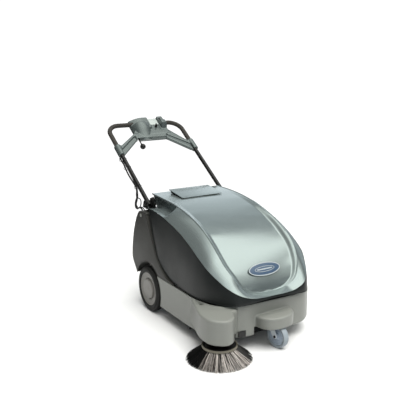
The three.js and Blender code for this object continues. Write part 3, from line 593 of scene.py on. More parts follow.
def filament(name, colour):
    """Stiff plastic filament, a little uneven along its length."""
    n = Surface(name)
    base = linear(colour)
    patches = n.noise(60.0, 3.0, 0.6)
    fine = n.noise(700.0, 2.0, 0.5)
    n.set(Base_Color=n.ramp(patches, [(0.3, shade(base, 0.6)), (0.7, base)]),
          Roughness=n.range(fine, 0.3, 0.7, 0.42, 0.62))
    return n.material


BRISTLES = [filament("bristle_dark", (17, 16, 16)), filament("bristle_mid", (84, 77, 73)),
            filament("bristle_light", (206, 199, 192))]


def paper_material():
    n = Surface("filter_paper")
    fibres = n.noise(500.0, 5.0, 0.7)
    n.set(Base_Color=n.ramp(fibres, [(0.3, linear((178, 166, 138))), (0.7, linear((206, 196, 170)))]),
          Roughness=n.range(fibres, 0.3, 0.7, 0.8, 0.95))
    n.bump(fibres, 0.0004, 0.6)
    return n.material


PAPER = paper_material()

# ---------------------------------------------------------------- camera, lights, floor
CAMERA_AT = (-1890.2, -3238.8, 1447.8)
CAMERA_DOWN, CAMERA_AZIMUTH = 13.595, -31.062
camera = linked("camera", bpy.data.cameras.new("camera"))
camera.location = to_row([CAMERA_AT])[0]
camera.rotation_euler = (math.radians(90 - CAMERA_DOWN), 0, math.radians(CAMERA_AZIMUTH))
camera.data.sensor_width = 36
camera.data.lens = 59.747
bpy.context.scene.camera = camera
bpy.context.scene.view_settings.view_transform = "Standard"


def sun(name, elevation, to_picture_right, strength, spread):
    """Broad lamp far away, turned from the camera's side of the object towards the picture's right."""
    data = bpy.data.lights.new(name, "SUN")
    data.energy = strength
    data.angle = math.radians(spread)
    obj = linked(name, data)
    around = math.radians(CAMERA_AZIMUTH - 90 + to_picture_right)
    up = math.radians(elevation)
    towards = Vector((math.cos(up) * math.cos(around), math.cos(up) * math.sin(around), math.sin(up)))
    obj.location = towards * 5
    obj.visible_glossy = False
    obj.rotation_euler = towards.to_track_quat("Z", "Y").to_euler()


def studio_world():
    """Studio surroundings, white to the camera itself.

    The ramp runs over the top, from the horizon behind the object (0) to the horizon in front (1): grey and
    then dark behind, a broad softbox overhead, a dim room in front. The light falls off to both sides.
    """
    world = bpy.data.worlds.new("studio")
    bpy.context.scene.world = world
    world.use_nodes = True
    n = Nodes(world.node_tree)
    direction = n.add("ShaderNodeTexCoord").outputs["Generated"]

    def dot(way):
        inputs = {0: direction, 1: way}
        return n.add("ShaderNodeVectorMath", inputs, operation="DOT_PRODUCT").outputs["Value"]

    def between(value, low, high, to_low, to_high):
        return n.range(value, low, high, to_low, to_high, "SMOOTHSTEP")

    azimuth = math.radians(CAMERA_AZIMUTH)
    ahead = dot((-math.sin(azimuth), math.cos(azimuth), 0))
    across = dot((math.cos(azimuth), math.sin(azimuth), 0))
    up = dot((0, 0, 1))
    over_the_top = n.math("DIVIDE", n.math("ARCTAN2", up, ahead), math.pi)
    levels = [(0.0, 0.50), (0.12, 0.46), (0.24, 0.20), (0.340, 0.11), (0.356, 1.0), (0.67, 1.0), (0.75, 0.78),
              (0.83, 0.44), (0.91, 0.28), (1.0, 0.24)]
    warm, cool = (1, 0.99, 0.93), (0.93, 1, 1.05)
    stops = [(at, (*[level * tint for tint in (warm if level > 0.5 else cool)], 1)) for at, level in levels]
    side = n.math("MULTIPLY", between(across, -0.65, 0.1, 0.07, 1.0), between(across, 0.60, 0.92, 1.0, 0.16))
    far_right = n.math("MULTIPLY", between(across, 0.15, 0.5, 0.0, 0.7), between(ahead, 0.5, 0.85, 0.0, 1.0))
    side = n.math("MULTIPLY", side, n.math("SUBTRACT", 1.0, far_right))
    strength = n.math("MULTIPLY", n.math("MULTIPLY", side, between(up, -0.12, 0.02, 0.35, 1.0)), 2.65)
    surroundings = n.tree.nodes["Background"]
    n.feed(surroundings.inputs["Color"], n.ramp(over_the_top, stops))
    n.feed(surroundings.inputs["Strength"], strength)
    white = n.add("ShaderNodeBackground", {"Color": (1, 1, 1, 1), "Strength": 1.1})
    seen = n.add("ShaderNodeLightPath").outputs["Is Camera Ray"]
    mix = n.add("ShaderNodeMixShader", {"Fac": seen, 1: surroundings.outputs[0], 2: white.outputs[0]})
    n.feed(n.tree.nodes["World Output"].inputs["Surface"], mix.outputs[0])


studio_world()
sun("key", 76, 30, 3.1, 50)

FLOOR_HALF = 1.9
floor_mesh = bpy.data.meshes.new("floor")
corners = [(x, y, 0) for x, y, _ in rectangle(-FLOOR_HALF, FLOOR_HALF, -FLOOR_HALF, FLOOR_HALF)]
floor_mesh.from_pydata(corners, [], [(0, 1, 2, 3)])
floor = linked("floor", floor_mesh)
floor_look = Surface("floor")
pale = [(0.3, (0.66, 0.66, 0.66, 1)), (0.7, (0.68, 0.68, 0.68, 1))]
floor_look.set(Base_Color=floor_look.ramp(floor_look.noise(1.5), pale), Roughness=0.7)
floor_mesh.materials.append(floor_look.material)

# ---------------------------------------------------------------- hood
# Lines of the hood's left half, from the rear to the middle of the front: the ridge round the panel, the
# lower edge of the band outside it, the middle of the panel, and the skirt's lower edge.
RIDGE = [
    (212, 150, 620), (218, 20, 619), (218, -110, 612), (218, -231, 595), (218, -334, 570), (220, -427, 539),
    (221, -500, 500), (220, -561, 456), (211, -607, 409), (191, -647, 363), (159, -671, 311),
    (110, -675, 282), (55, -673, 268), (0, -672, 265)]
BAND_EDGE = [
    (290, 84, 556), (297, 10, 570), (299, -95, 566), (297, -215, 541), (295, -325, 509), (296, -420, 472),
    (296, -500, 433), (288, -565, 394), (268, -613, 359), (236, -667, 319), (190, -708, 287),
    (130, -721, 266), (65, -727, 261), (0, -728, 262)]
SPINE = [
    (0, 150, 621), (0, 20, 619), (0, -105, 610), (0, -225, 590), (0, -335, 561), (0, -432, 522),
    (0, -510, 478), (0, -572, 432), (0, -618, 382), (0, -645, 336), (0, -659, 303), (0, -665, 283),
    (0, -668, 272), (0, -672, 265)]
PANEL_SINK = [0, 0, 3, 7, 11, 16, 18, 18, 17, 16, 13, 8, 3, 0]
SKIRT_EDGE = [
    (303, 12, 560), (313, -104, 330), (310, -215, 256), (312, -325, 238), (314, -420, 234), (310, -490, 233),
    (299, -549, 233), (282, -601, 233), (253, -656, 233), (203, -709, 235), (135, -724, 241), (65, -729, 248),
    (0, -730, 251)]
ridge, band_edge, spine, skirt_edge = Spline(RIDGE), Spline(BAND_EDGE), Spline(SPINE), Spline(SKIRT_EDGE)
POCKET_WALL, POCKET_LEDGE = 205, 213        # x of the pocket that the band has at the rear, beside the handle
POCKET_FULL, POCKET_END = -100, -175        # y where it is full and where it has run out
STEP_START, STEP_INSIDE = 0.988, 0.86       # where the step down to the panel starts and ends, as shares of x


def smooth(t):
    t = min(max(t, 0.0), 1.0)
    return t * t * (3 - 2 * t)


def sink_at(u):
    x = u * (len(PANEL_SINK) - 1)
    i = min(int(x), len(PANEL_SINK) - 2)
    return PANEL_SINK[i] + (PANEL_SINK[i + 1] - PANEL_SINK[i]) * smooth(x - i)


def along(points, t):
    """Point at t of 0 to 1 along evenly numbered points."""
    x = t * (len(points) - 1)
    i = min(int(x), len(points) - 2)
    return points[i] + (points[i + 1] - points[i]) * (x - i)


# Where a row of the hood has points: across the band, closer together at the pocket's corners, and across the
# panel from the ridge to the middle, closer together on the step.
BAND_T = [0, 0.02, 0.06, 0.12, 0.18, 0.23, 0.25, 0.27, 0.32, 0.4, 0.46, 0.49, 0.51, 0.54, 0.6, 0.68, 0.74,
          0.76, 0.8, 0.86, 0.92, 0.96]
PANEL_S = [0.985, 0.97, 0.955, 0.94, 0.925, 0.91, 0.895, 0.88, 0.869, 0.86, 0.85, 0.83, 0.79, 0.72, 0.64,
           0.55, 0.46, 0.37, 0.28, 0.19, 0.1, 0]
# Points across the ridge's bead and the skirt's lip: distance from the line, height above the surface.
RIDGE_BEAD = ((-4.6, 0.4), (-3.4, 1.7), (-1.6, 2.6), (0.4, 2.6), (2.0, 1.4))
SKIRT_LIP = ((0, 0.4), (1.0, 1.5), (2.6, 1.7), (4.0, 0.9), (5.0, 0.0))


def hood_half(u):
    """Points from the band's lower edge over the ridge to the middle of the panel."""
    top, low = ridge.at(u), band_edge.at(u)
    y = (top[1] + low[1]) / 2
    pocket = smooth((y - POCKET_END) / (POCKET_FULL - POCKET_END))
    sunk = [low, np.array([POCKET_LEDGE, low[1], low[2] - 6]), np.array([POCKET_WALL, y, low[2] + 4]),
            np.array([POCKET_WALL, top[1], top[2] - 9]), top]
    row = []
    for t in BAND_T:
        plain = low + (top - low) * t
        bulge = 6 * math.sin(math.pi * t) * min(1, plain[0] / 200)
        plain = plain + np.array([bulge * 0.5, 0, bulge * 0.85])
        row.append(plain + (along(sunk, t) - plain) * pocket)
    inward = (top - low) / np.linalg.norm(top - low)
    outward = np.cross(inward, ridge.tangent(u))
    outward /= np.linalg.norm(outward)
    outward *= math.copysign(1, outward[2] if abs(outward[2]) > 0.2 else -outward[1])
    bead = min(1, top[0] / 60)
    for aside, proud in RIDGE_BEAD:
        row.append(top + inward * aside * bead + outward * proud * bead)
    middle, way, depth = spine.at(u), spine.tangent(u), sink_at(u)
    bottom = np.array([0, top[1] - way[2] * depth, top[2] + way[1] * depth])
    for s in PANEL_S:
        if s >= STEP_INSIDE:
            fall = smooth((STEP_START - s) / (STEP_START - STEP_INSIDE))
            point = np.array([0, top[1], top[2]]) * (1 - fall) + bottom * fall
        else:
            point = bottom + (middle - bottom) * (1 - (s / STEP_INSIDE) ** 2)
        point[0] = s * top[0]
        row.append(point)
    return row


def drawn_in(points, wall=4.0, rear=150.0, low=240):
    """Points scaled towards the middle of the rear at the lower edge, by about the wall's thickness."""
    p = rows_of(points)
    return np.column_stack([
        p[:, 0] * (1 - wall / 300), rear + (p[:, 1] - rear) * (1 - wall / 850),
        low + (p[:, 2] - low) * (1 - wall / 380)])


def walled(outer, cap_last=True):
    """A wall drawn in from the outer grid, closed round its edge."""
    n, m = len(outer), len(outer[0])
    points, front = grid(outer)
    k = n * m
    faces = front + [[i + k for i in reversed(f)] for f in front]
    rim = [(r * m + c, (r + 1) * m + c) for c in (0, m - 1) for r in range(n - 1)]
    for r in ((0, n - 1) if cap_last else (0,)):
        rim += [(r * m + c, r * m + c + 1) for c in range(m - 1)]
    faces += [[a, b, b + k, a + k] for a, b in rim]
    return np.vstack([points, drawn_in(points)]), faces


HOOD_ROWS = 190
hood_rows = []
for i in range(HOOD_ROWS + 1):
    half = hood_half(i / HOOD_ROWS)
    hood_rows.append(half + [p * MIRROR for p in half[-2::-1]])
piece("hood_shell_moulding", walled(hood_rows, cap_last=False), HOOD, "hood", ["hood_shell"],
      38)


def skirt_row(u):
    low, first = skirt_edge.at(u), 1 / (len(BAND_EDGE) - 1)
    high = band_edge.at(first + (1 - first) * u) - np.array([0, 0, 2])
    out = np.cross(skirt_edge.tangent(u), high - low)
    out[2] = 0
    out /= max(np.linalg.norm(out), 1e-9)
    if out[0] < 0 and out[1] > -0.5:
        out = -out
    if u > 0.9 and out[1] > 0:
        out = -out
    height = np.linalg.norm(high - low)
    row = []
    for distance, proud in SKIRT_LIP:
        row.append(low + (high - low) * min(distance / max(height, 6), 1) + out * proud * min(1, height / 30))
    start = min(5.0 / max(height, 6), 1)
    for k in range(1, 15):
        t = start + (1 - start) * k / 14
        bulge = 5 * math.sin(math.pi * t) * min(1, height / 150)
        row.append(low + (high - low) * t + out * bulge)
    return row


SKIRT_ROWS = 120
skirt_half = [skirt_row(i / SKIRT_ROWS) for i in range(SKIRT_ROWS + 1)]
skirt_rows = skirt_half + [[p * MIRROR for p in row] for row in skirt_half[-2::-1]]
piece("hood_skirt_moulding", walled(skirt_rows), SKIRT, "hood", ["hood_skirt"], 38)

roof_section = outline([
    (-42, 619.6, 1), (20, 627.4, 40), (112, 637, 3), (112, 641, 3), (20, 631, 40), (-42, 622.4, 1)], 4)
cheek_section = outline([(-20, 620.8, 1), (104, 622.6, 1), (104, 637.5, 1), (-20, 623, 1)], 2)
cowl_roof = slab(roof_section, -128, 128, 1.2, 1.2, "x")
cowl_cheeks = merge(*[slab(cheek_section, x, x + 22, 1, 1, "x") for x in (-120, 98)])
piece("cowl_roof", cowl_roof, HOOD, "hood", ["exhaust_cowl"])
piece("cowl_cheeks", cowl_cheeks, BLACK, "hood", ["exhaust_cowl"])

BADGE_AT, BADGE_LEAN = (0, -634.6, 367), math.radians(59.6)


def on_badge(points):
    """From the badge's own frame, z out of its face, to the machine frame."""
    p = rows_of(points)
    c, s = math.cos(BADGE_LEAN), math.sin(BADGE_LEAN)
    return np.column_stack([
        p[:, 0], BADGE_AT[1] + p[:, 1] * c - p[:, 2] * s, BADGE_AT[2] + p[:, 1] * s + p[:, 2] * c])


def ellipse(a, b, count=72):
    return np.array([(a * math.cos(2 * math.pi * k / count), b * math.sin(2 * math.pi * k / count))
                     for k in range(count)])


def elliptic_ring(outer, inner, lo, hi, edge):
    """Flat ring between two ellipses, with soft edges."""
    rings = (
        (outer, 0, lo), (outer, 0, hi - edge), (outer, -edge, hi), (inner, edge, hi), (inner, 0, hi - edge),
        (inner, 0, lo))
    rows = [[(x, y, h) for x, y in ellipse(a + grown, b + grown)] for (a, b), grown, h in rings]
    return grid(rows, wrap_rows=True, wrap_columns=True)


badge_bar = slab(outline(rectangle(-44, 44, -3, 3, 3)), 1.7, 2.4, 0, 0.3)
for name, shape, material in (
        ("badge_field", slab(ellipse(87, 28.5), 0.2, 1.9, 0, 0.5), BADGE_BLUE),
        ("badge_border", elliptic_ring((92, 33), (86.6, 28.2), 0.1, 2.6, 0.7), BADGE_RIM),
        ("badge_inlay", merge(elliptic_ring((58, 14), (55, 11.5), 1.7, 2.5, 0.3), badge_bar), BADGE_RIM)):
    piece(name, shape, material, "hood", ["badge_plate"], function=on_badge)

# ---------------------------------------------------------------- chassis
WALL, FLOOR_Z, DECK_Z, ARCH = 5, 66, 228, 152
SIDE_BRUSH = (-304, -710)
half_plan = [(322, 104, 4), (322, -515, 80), (286, -632, 60), (212, -690, 50), (150, -703, 20)]
plan = outline(with_mirror(half_plan), 14)
lobe_plan = outline([
    (-322, -470, 10), (-388, -665, 60), (-386, -760, 60), (-322, -812, 70), (-264, -784, 44),
    (-240, -720, 40), (-197, -702, 8), (-190, -680), (-250, -620), (-318, -560)], 12)
brush_lobe = slab(lobe_plan, 100, 222, 4, 10, steps=6)
castor_plan = outline([
    (106, -690), (104, -745, 30), (62, -784, 40), (0, -797, 50), (-62, -784, 40), (-92, -745, 30),
    (-96, -690)], 12)
castor_lobe = slab(castor_plan, 110, 205, 4, 6, steps=5)
points = castor_lobe[0]                     # its crown slopes down forwards and falls away at the sides
slope = 160 + (points[:, 1] + 810) / 120 * 46 - 205
at_wall = np.clip((points[:, 1] + 797) / 107, 0, 1)
slope = np.minimum(slope, 0.5) - 42 * at_wall * (np.abs(points[:, 0] - 12) / 104) ** 2.2
points[:, 2] += slope * np.clip((points[:, 2] - 118) / 70, 0, 1)


def tetrahedron(a, b, c, d):
    return np.array([a, b, c, d], float), [[0, 1, 2], [0, 2, 3], [2, 1, 3], [1, 0, 3]]


# The two lobes are melted into a solid block behind the front wall, so that they grow out of it in fillets.
front_block = melted(combined(
    slab(offset(plan, 0.1), FLOOR_Z + 0.2, DECK_Z - 0.2, 7, 1.6, steps=5),
    *taking(block(-400, 400, -400, 200, 0, 300)), *adding(brush_lobe, castor_lobe)), 3.0, 16)
chassis = combined(
    slab(plan, FLOOR_Z, DECK_Z, 7, 1.6, steps=5),
    *taking(block(-400, 400, -900, -430, 0, 300)),
    *adding(front_block, slab(offset(plan, 1.0), FLOOR_Z + 20, DECK_Z, 4, 1.2, steps=4)),
    *taking(slab(offset(plan, WALL), FLOOR_Z + WALL, DECK_Z + 8, 3, 0)),
    *adding(
        block(243.01, 248, -420, 102, FLOOR_Z + 1, 226), block(-248, -243.01, -420, 102, FLOOR_Z + 1, 226),
        block(-244, 244, -400, -395, FLOOR_Z + 1, 226), block(-244, 244, -128, -124, FLOOR_Z + 1, 92)),
    *taking(
        block(-243, 243, -395, -128, 30, 90, 0.1), block(-243, 243, -124, 150, 30, 260, 0.1),
        rod("z", 80, 214, 52, SIDE_BRUSH, 48), rod("z", 0, 100.1, 104, SIDE_BRUSH, 64),
        rod("x", -260, 260, 9.8, REAR_AXLE, 32),
        block(-192, -150, -712, -697, 72, 104, 1.5),
        tetrahedron((150, -760, 50), (350, -520, 50), (350, -760, 50), (330, -735, 160)),
        rod("x", 250, 340, ARCH, REAR_AXLE, 96), rod("x", -340, -250, ARCH, REAR_AXLE, 96),
        rod("z", -5, 112, 102, CASTOR_AT, 64), rod("z", 90, 156, 70, CASTOR_AT, 48)))


def arch(radius, angles):
    """(y, z) points round the rear axle at angles in degrees above the front."""
    return [(-radius * math.cos(math.radians(a)), REAR_AXLE[1] + radius * math.sin(math.radians(a)))
            for a in angles]


def arch_lip(side, low, high, x=321.0):
    """Raised bead round the wheel arch between two angles."""
    return tube([(side * x, y, z) for y, z in arch(ARCH + 0.2, np.linspace(low, high, 41))], 2.6, 12)


piece("chassis_moulding", chassis, BODY, "chassis", ["chassis_tub"], 38)
piece("arch_beads", merge(*[arch_lip(side, -20, 42.6) for side in (-1, 1)]), BODY, "chassis",
      ["chassis_tub"])

PILLAR = [
    (12, 548, 14), (104, 546, 16), (136, 508, 20), (176, 428, 40), (199, 332, 40), (206, 255, 36),
    (172, 212, 14), (147, 181, 4)]
PILLAR_FRONT = [(-284, DECK_Z + 0.4), (-284, 234), (-212, 247, 20), (-157, 277, 30), (-97, 328, 20)]
PILLAR_HOLLOW = [
    (30, 536), (96, 536), (128, 500), (168, 424), (190, 330), (198, 262), (150, 224), (104, 246), (60, 282),
    (0, 289), (-60, 276), (-92, 258), (-112, 240), (-150, 262), (-90, 322)]
front = outline([(-40, DECK_Z + 0.4)] + PILLAR_FRONT + [(-14, 500)], 8)[1:-1]
loop = np.vstack([outline(PILLAR, 8)[:-1], arch(ARCH + 0.4, np.linspace(158, 43, 30)), front])
pillar = cut(slab(loop, 250, 320, 0, 4.5, "x", 5), slab(outline(PILLAR_HOLLOW), 249, 314, 0, 2, "x"))
cap = revolve([(0, 324.4), (5, 324), (8.6, 322.6), (10, 320.4), (10, 317)], 48, "x", (0, 78, 524))
# The pillar mouldings and their arch beads take the pillar plastic, whose dark colour is painted shade.
for side, label in SIDES:
    for name, shape, material, sharp in (
            ("moulding", on_side(side, pillar), PILLAR_PAINTED_SHADE, 38),
            ("arch_bead", arch_lip(side, 43.4, 158, 319.0), PILLAR_PAINTED_SHADE, 32),
            ("cap", on_side(side, cap), BODY, 32)):
        piece(f"pillar_{name}_{label}", shape, material, "chassis",
              [f"rear_pillar_{label}"], sharp)

# ---------------------------------------------------------------- rear wheels
# Profiles are (radius, x), on the left wheel.
tyre_profile = [
    (92.6, 279), (98, 276.8), (108, 275), (116, 275.2), (121, 278), (124.3, 283), (125, 287), (125, 291),
    (123, 291.6), (123, 293.4), (125, 294), (125, 299.5), (123, 300), (123, 302), (125, 302.5), (125, 308),
    (123, 308.6), (123, 310.4), (125, 311), (124.6, 314.6), (122.8, 318.6), (119.4, 322.4), (114.6, 324.8),
    (113.6, 323.8), (111.4, 324.3), (111, 325.9), (104, 327), (98.6, 327), (95, 325.8), (92.6, 323.6)]
hub_profile = softened([
    (0, 325.6), (48, 325.6), (53.5, 324.2), (54.5, 312), (58.5, 311.6), (60, 316.4), (78, 317.6),
    (84.5, 319.4), (87, 322.4), (91.8, 322.6), (91.8, 281), (88, 280.4), (60, 283), (30, 287), (29, 281.6),
    (11, 281.6), (11, 311)], 1.2)
cap_profile = softened([(0, 326.3), (11, 326.2), (13, 325.2), (13.6, 324)], 0.6)
for side, label in SIDES:
    for name, profile, segments, closed, material, slot, node in (
            ("tyre_tread", tyre_profile, 128, True, TYRE, "rear_tyre", "tyre"),
            ("wheel_disc", hub_profile, 96, False, HUB, "hub_plastic", "wheel_hub"),
            ("wheel_cap", cap_profile, 48, False, HUB, "hub_plastic", "wheel_hub")):
        shape = on_side(side, revolve(profile, segments, "x", (0, *REAR_AXLE), closed))
        piece(f"{name}_{label}", shape, material, f"wheel_{label}", [f"{node}_{label}"], 30)

# ---------------------------------------------------------------- castor
CASTOR_AXLE = (-40, 59)                     # y and z in the castor's own frame
leg_outline = outline([
    (16, 126, 2), (-22, 126, 6), (-52, 62, 10), (-44, 46, 9), (-29, 49, 8), (4, 100, 10)], 6)


def hexagon(radius, at, turned=0):
    return np.array([(at[0] + radius * math.cos(math.radians(60 * k + turned)),
                      at[1] + radius * math.sin(math.radians(60 * k + turned))) for k in range(6)])


def fork_leg(x0, x1, outside):
    """One leg of the fork, with a rolled border on its outer face."""
    plate = slab(leg_outline, x0, x1, 0.6, 0.6, "x")
    border = tube([(outside, y, z) for y, z in offset(leg_outline, 1.3)], 1.5, 8, closed=True)
    return merge(plate, border)


crown = outline([(-21.4, -25, 8), (21.4, -25, 8), (21.4, 18, 10), (-21.4, 18, 10)])
race = softened([(16, 127), (26, 127), (27, 133), (16, 137)], 1)
fork = merge(
    fork_leg(19, 21.4, 20.6), fork_leg(-21.4, -19, -20.6), slab(crown, 122.4, 126.4, 0.8, 0.8),
    rod("z", 125, 150, 16, (0, 0), 48, 1.2), revolve(race, 48))
bolt_head = hexagon(7.5, CASTOR_AXLE, 10)
bolt = merge(
    rod("x", -24.5, 24.5, 4.4, CASTOR_AXLE, 24), slab(bolt_head, 21.6, 26, 0.5, 0.8, "x"),
    slab(bolt_head, -26, -21.6, 0.8, 0.5, "x"))
castor_tread = [
    (45.8, -13), (50, -14.6), (54, -15.8), (57, -15), (58.6, -11.5), (59, -6), (59, 6), (58.6, 11.5),
    (57, 15), (54, 15.8), (50, 14.6), (45.8, 13)]
castor_rim = [
    (6, -17), (13, -17), (14.5, -15.6), (15, -12), (22, -11.2), (23, -12.6), (28, -12.8), (29, -11.2),
    (36, -11.4), (37, -13), (44, -13.6), (44.6, -12.6), (44.6, 12.6), (44, 13.6), (37, 13), (36, 11.4),
    (29, 11.2), (28, 12.8), (23, 12.6), (22, 11.2), (15, 12), (14.5, 15.6), (13, 17), (6, 17)]
tread, rim = (
    revolve(profile, 72, "x", (0, *CASTOR_AXLE), closed=True) for profile in (castor_tread, castor_rim))
for name, shape, material, body, slot, node, sharp in (
        ("castor_fork_pressing", fork, ZINC, "castor_swivel", "plated_steel", "castor_fork", 32),
        ("castor_axle_bolt", bolt, BLACK_STEEL, "castor_swivel", "black_steel", "castor_fork", 32),
        ("castor_tread", tread, CASTOR_TYRE, "castor_wheel", "castor_rubber", "castor_tyre", 30),
        ("castor_rim", rim, CASTOR_HUB, "castor_wheel", "castor_plastic", "castor_hub", 30)):
    piece(name, shape, material, body, [node], sharp, from_castor)

# ---------------------------------------------------------------- brushes
def strands(paths, radius, tip=0.55):
    """Thin three-sided filaments along paths of equally many points, and the number of faces in each."""
    steps = len(paths[0]) - 1
    filaments = [tube(path, lambda i: radius * (1 - (1 - tip) * i / steps), 3) for path in paths]
    return merge(*filaments), 2 + 3 * steps


MIXED_SECTORS = ((14, 74), (196, 307))      # degrees round the side brush; the rest of its tufts are black
SIDE_TUFTS, SIDE_STRANDS = 168, 16
ROOT_IN, ROOT_OUT, ROOT_Z, TIP_Z = 64, 78, 61.6, 2.0


def side_brush_paths():
    """Strands of the tufts round the brush, and each strand's tone: dark 0, middle 1 or light 2."""
    paths, tones = [], []
    for tuft in range(SIDE_TUFTS):
        base = 2 * math.pi * tuft / SIDE_TUFTS
        mixed = any(low < math.degrees(base) < high for low, high in MIXED_SECTORS)
        main = random.choices((0, 1, 2), (0.3, 0.3, 0.4))[0] if mixed else 0
        for _ in range(SIDE_STRANDS):
            angle = base + random.gauss(0, 0.014)
            spread = angle + random.gauss(0, 0.022)
            r0 = random.uniform(ROOT_IN, ROOT_OUT)
            outer = (r0 - ROOT_IN) / (ROOT_OUT - ROOT_IN)
            reach = 138 + 22 * outer + random.uniform(-5, 1.5)
            lean = 0.05
            path = []
            for k in range(5):
                t = k / 4
                r = r0 + (reach - r0) * t ** 0.92
                drop = (TIP_Z + random.uniform(0, 1.2) - ROOT_Z) * t ** 0.98
                z = ROOT_Z + drop - (1 - outer) * 6 * math.sin(math.pi * t)
                a = angle + (spread - angle + lean) * t
                path.append((SIDE_BRUSH[0] + r * math.cos(a), SIDE_BRUSH[1] + r * math.sin(a), max(z, 1.2)))
            paths.append(path)
            tones.append(main if random.random() < 0.4 or not mixed else random.choice((0, 0, 1, 2, 2)))
    return paths, tones


paths, tones = side_brush_paths()
filaments, faces_each = strands(paths, 0.85)
piece("side_brush_filaments", filaments, BRISTLES, "side_brush", ["side_brush_bristles"], 60,
      chosen=[t for t in tones for _ in range(faces_each)])
dish_profile = softened([(0, 70), (28, 70), (66, 71.5), (78, 73.5), (78.6, 62), (60, 61.6), (0, 61.6)], 1.2)
boss_profile = softened([(0, 87.4), (24, 87.4), (30, 85), (31, 71)], 1.5)
band_profile = [
    (80.2, 62), (83, 62), (84, 63), (84, 72.6), (83.4, 73.8), (82, 74.2), (80.6, 73.6), (80.2, 72.4)]
side_at = (*SIDE_BRUSH, 0)
dish = merge(revolve(dish_profile, 72, "z", side_at), revolve(boss_profile, 48, "z", side_at))
piece("side_brush_dish", dish, BLACK, "side_brush", ["side_brush_plate"])
band = revolve(band_profile, 96, "z", side_at, closed=True)
piece("side_brush_band", band, RING, "side_brush", ["side_brush_ring"])

MAIN_BRUSH = (-262, 113)                    # y and z
MAIN_ROWS, MAIN_TUFTS, MAIN_STRANDS = 16, 46, 5


def main_brush_paths():
    """Straight strands in rows along the brush, each row drawn out into a shallow V."""
    paths = []
    for row in range(MAIN_ROWS):
        for tuft in range(MAIN_TUFTS):
            x = -200 + 400 * tuft / (MAIN_TUFTS - 1)
            turn = 2 * math.pi * row / MAIN_ROWS + abs(x) * 0.0035
            for _ in range(MAIN_STRANDS):
                a = turn + random.gauss(0, 0.035)
                dx = random.gauss(0, 1.6)
                tip = a + random.gauss(0, 0.03)
                end = random.uniform(108, 111.6)
                paths.append([(x + move, MAIN_BRUSH[0] + r * math.cos(way), MAIN_BRUSH[1] + r * math.sin(way))
                              for move, r, way in ((dx * 0.4, 45, a), (dx, end, tip))])
    return paths


paths = main_brush_paths()
filaments, faces_each = strands(paths, 0.8)
piece("main_brush_filaments", filaments, BRISTLES, "main_brush", ["main_brush_bristles"], 60,
      chosen=[random.choices((0, 1), (0.8, 0.2))[0] for _ in paths for _ in range(faces_each)])

# ---------------------------------------------------------------- handle
# In the handle's own frame: x, distance along the tubes from the pivot, and height out of the tubes' plane.
GRIP_TOP, HANDLE_X, BEND = 675, 248, 77


def grip_path():
    rise, inset = GRIP_TOP - BEND, HANDLE_X - BEND
    half = [(HANDLE_X, t, 0) for t in np.arange(443, rise, 3.0)]
    bend = np.linspace(0, math.pi / 2, 40)
    half += [(inset + BEND * math.cos(a), rise + BEND * math.sin(a), 0) for a in bend]
    half += [(x, GRIP_TOP, 0) for x in np.arange(inset - 3, 0, -3.0)]
    return half + [(-x, t, n) for x, t, n in half[::-1]]


def on_handle(name, shape, material, node, body="handle", sharp=32):
    return piece(name, shape, material, body, [node], sharp, from_handle)


grip = tube(grip_path(), lambda i: 13.7 + 0.3 * math.sin(i * 2.1), 28)
on_handle("foam_grip", grip, GRIP, "grip_loop", sharp=60)
tube_profile = softened([(9.4, -14), (12, -14), (12, 401), (14, 403), (14, 442.6), (9.4, 442.6)], 0.8)
for side, label in SIDES:
    steel = cut(revolve(tube_profile, 48, "y", (side * HANDLE_X, 0, 0), closed=True),
                rod("x", side * HANDLE_X - 20, side * HANDLE_X + 20, 5.6, (0, 0), 24, 0.1))
    on_handle(f"lower_tube_steel_{label}", steel, BLACK_STEEL, f"lower_tube_{label}", sharp=30)

# Console: two arms to the tubes, a block across the middle, a barrel that makes its right horn, and a chin.
SADDLE_FROM, SADDLE_TO, SADDLE = 30, 98, 17     # the saddle's ends in x, and its height
HORN, VISOR = 31, 52                            # heights of the right and the left horn beside it
KEY_AT, BUTTON_AT = (64, 622), (110, 680)
LEVER_X, LEVER_PIVOT = -86, 548
arms = slab(outline([
    (104, 534, 14), (226, 412), (232, 412), (232, 486), (222, 486, 4), (138, 602, 18), (100, 650), (-60, 650),
    (-104, 578, 18), (-222, 484, 4), (-232, 484), (-232, 412), (-226, 412),
    (-96, 534, 14)], 8), -17, 13, 3, 3)
block_section = outline([
    (-94, -20, 10), (136, -20, 10), (136, VISOR - 8, 12), (124, VISOR, 8), (SADDLE_TO, VISOR, 4),
    (SADDLE_TO, SADDLE, 2), (SADDLE_FROM, SADDLE, 2), (SADDLE_FROM, HORN, 5), (-34, HORN, 40),
    (-94, 4, 24)], 10)
front_slope = outline([(550, SADDLE), (604, SADDLE), (624, VISOR, 8), (628, 70), (550, 70)])
rear_slope = outline([(652, 70), (652, VISOR, 2), (664, HORN, 3), (715, HORN), (715, 70)])
left_corner = outline([(108, 590), (142, 590), (142, 640), (136, 640), (136, 602, 20), (108, 602)], 8)
right_corner = outline([(-110, 590), (-50, 598, 30), (-86, 620, 30), (-98, 660, 10), (-110, 668)], 12)
console_block = combined(slab(block_section, 560, 706, 3, 4, "y", 4), *taking(
    slab(front_slope, -110, 150, axis="x"), slab(left_corner, SADDLE, 70),
    slab(rear_slope, -110, 150, axis="x"), slab(right_corner, SADDLE, 70)))
barrel_path = Spline([(-32, 548, -46), (-32, 590, -27), (-32, 628, -10), (-32, 652, -8)]).sample(24)
barrel = combined(tube(barrel_path, 60, 72), *taking(block(-120, 60, 480, 720, -140, -16)))
chin = slab(outline([(-100, 532, 12), (104, 532, 12), (124, 575, 4), (-112, 575, 4)], 8), -19, 16, 4, 4)
sleeves = [rod("y", 403, 488, 21, (side * HANDLE_X, 0), 48, 2.5) for side in (-1, 1)]
arm_step = [(104, 500), (104, 560, 16), (236, 446), (236, 400)]
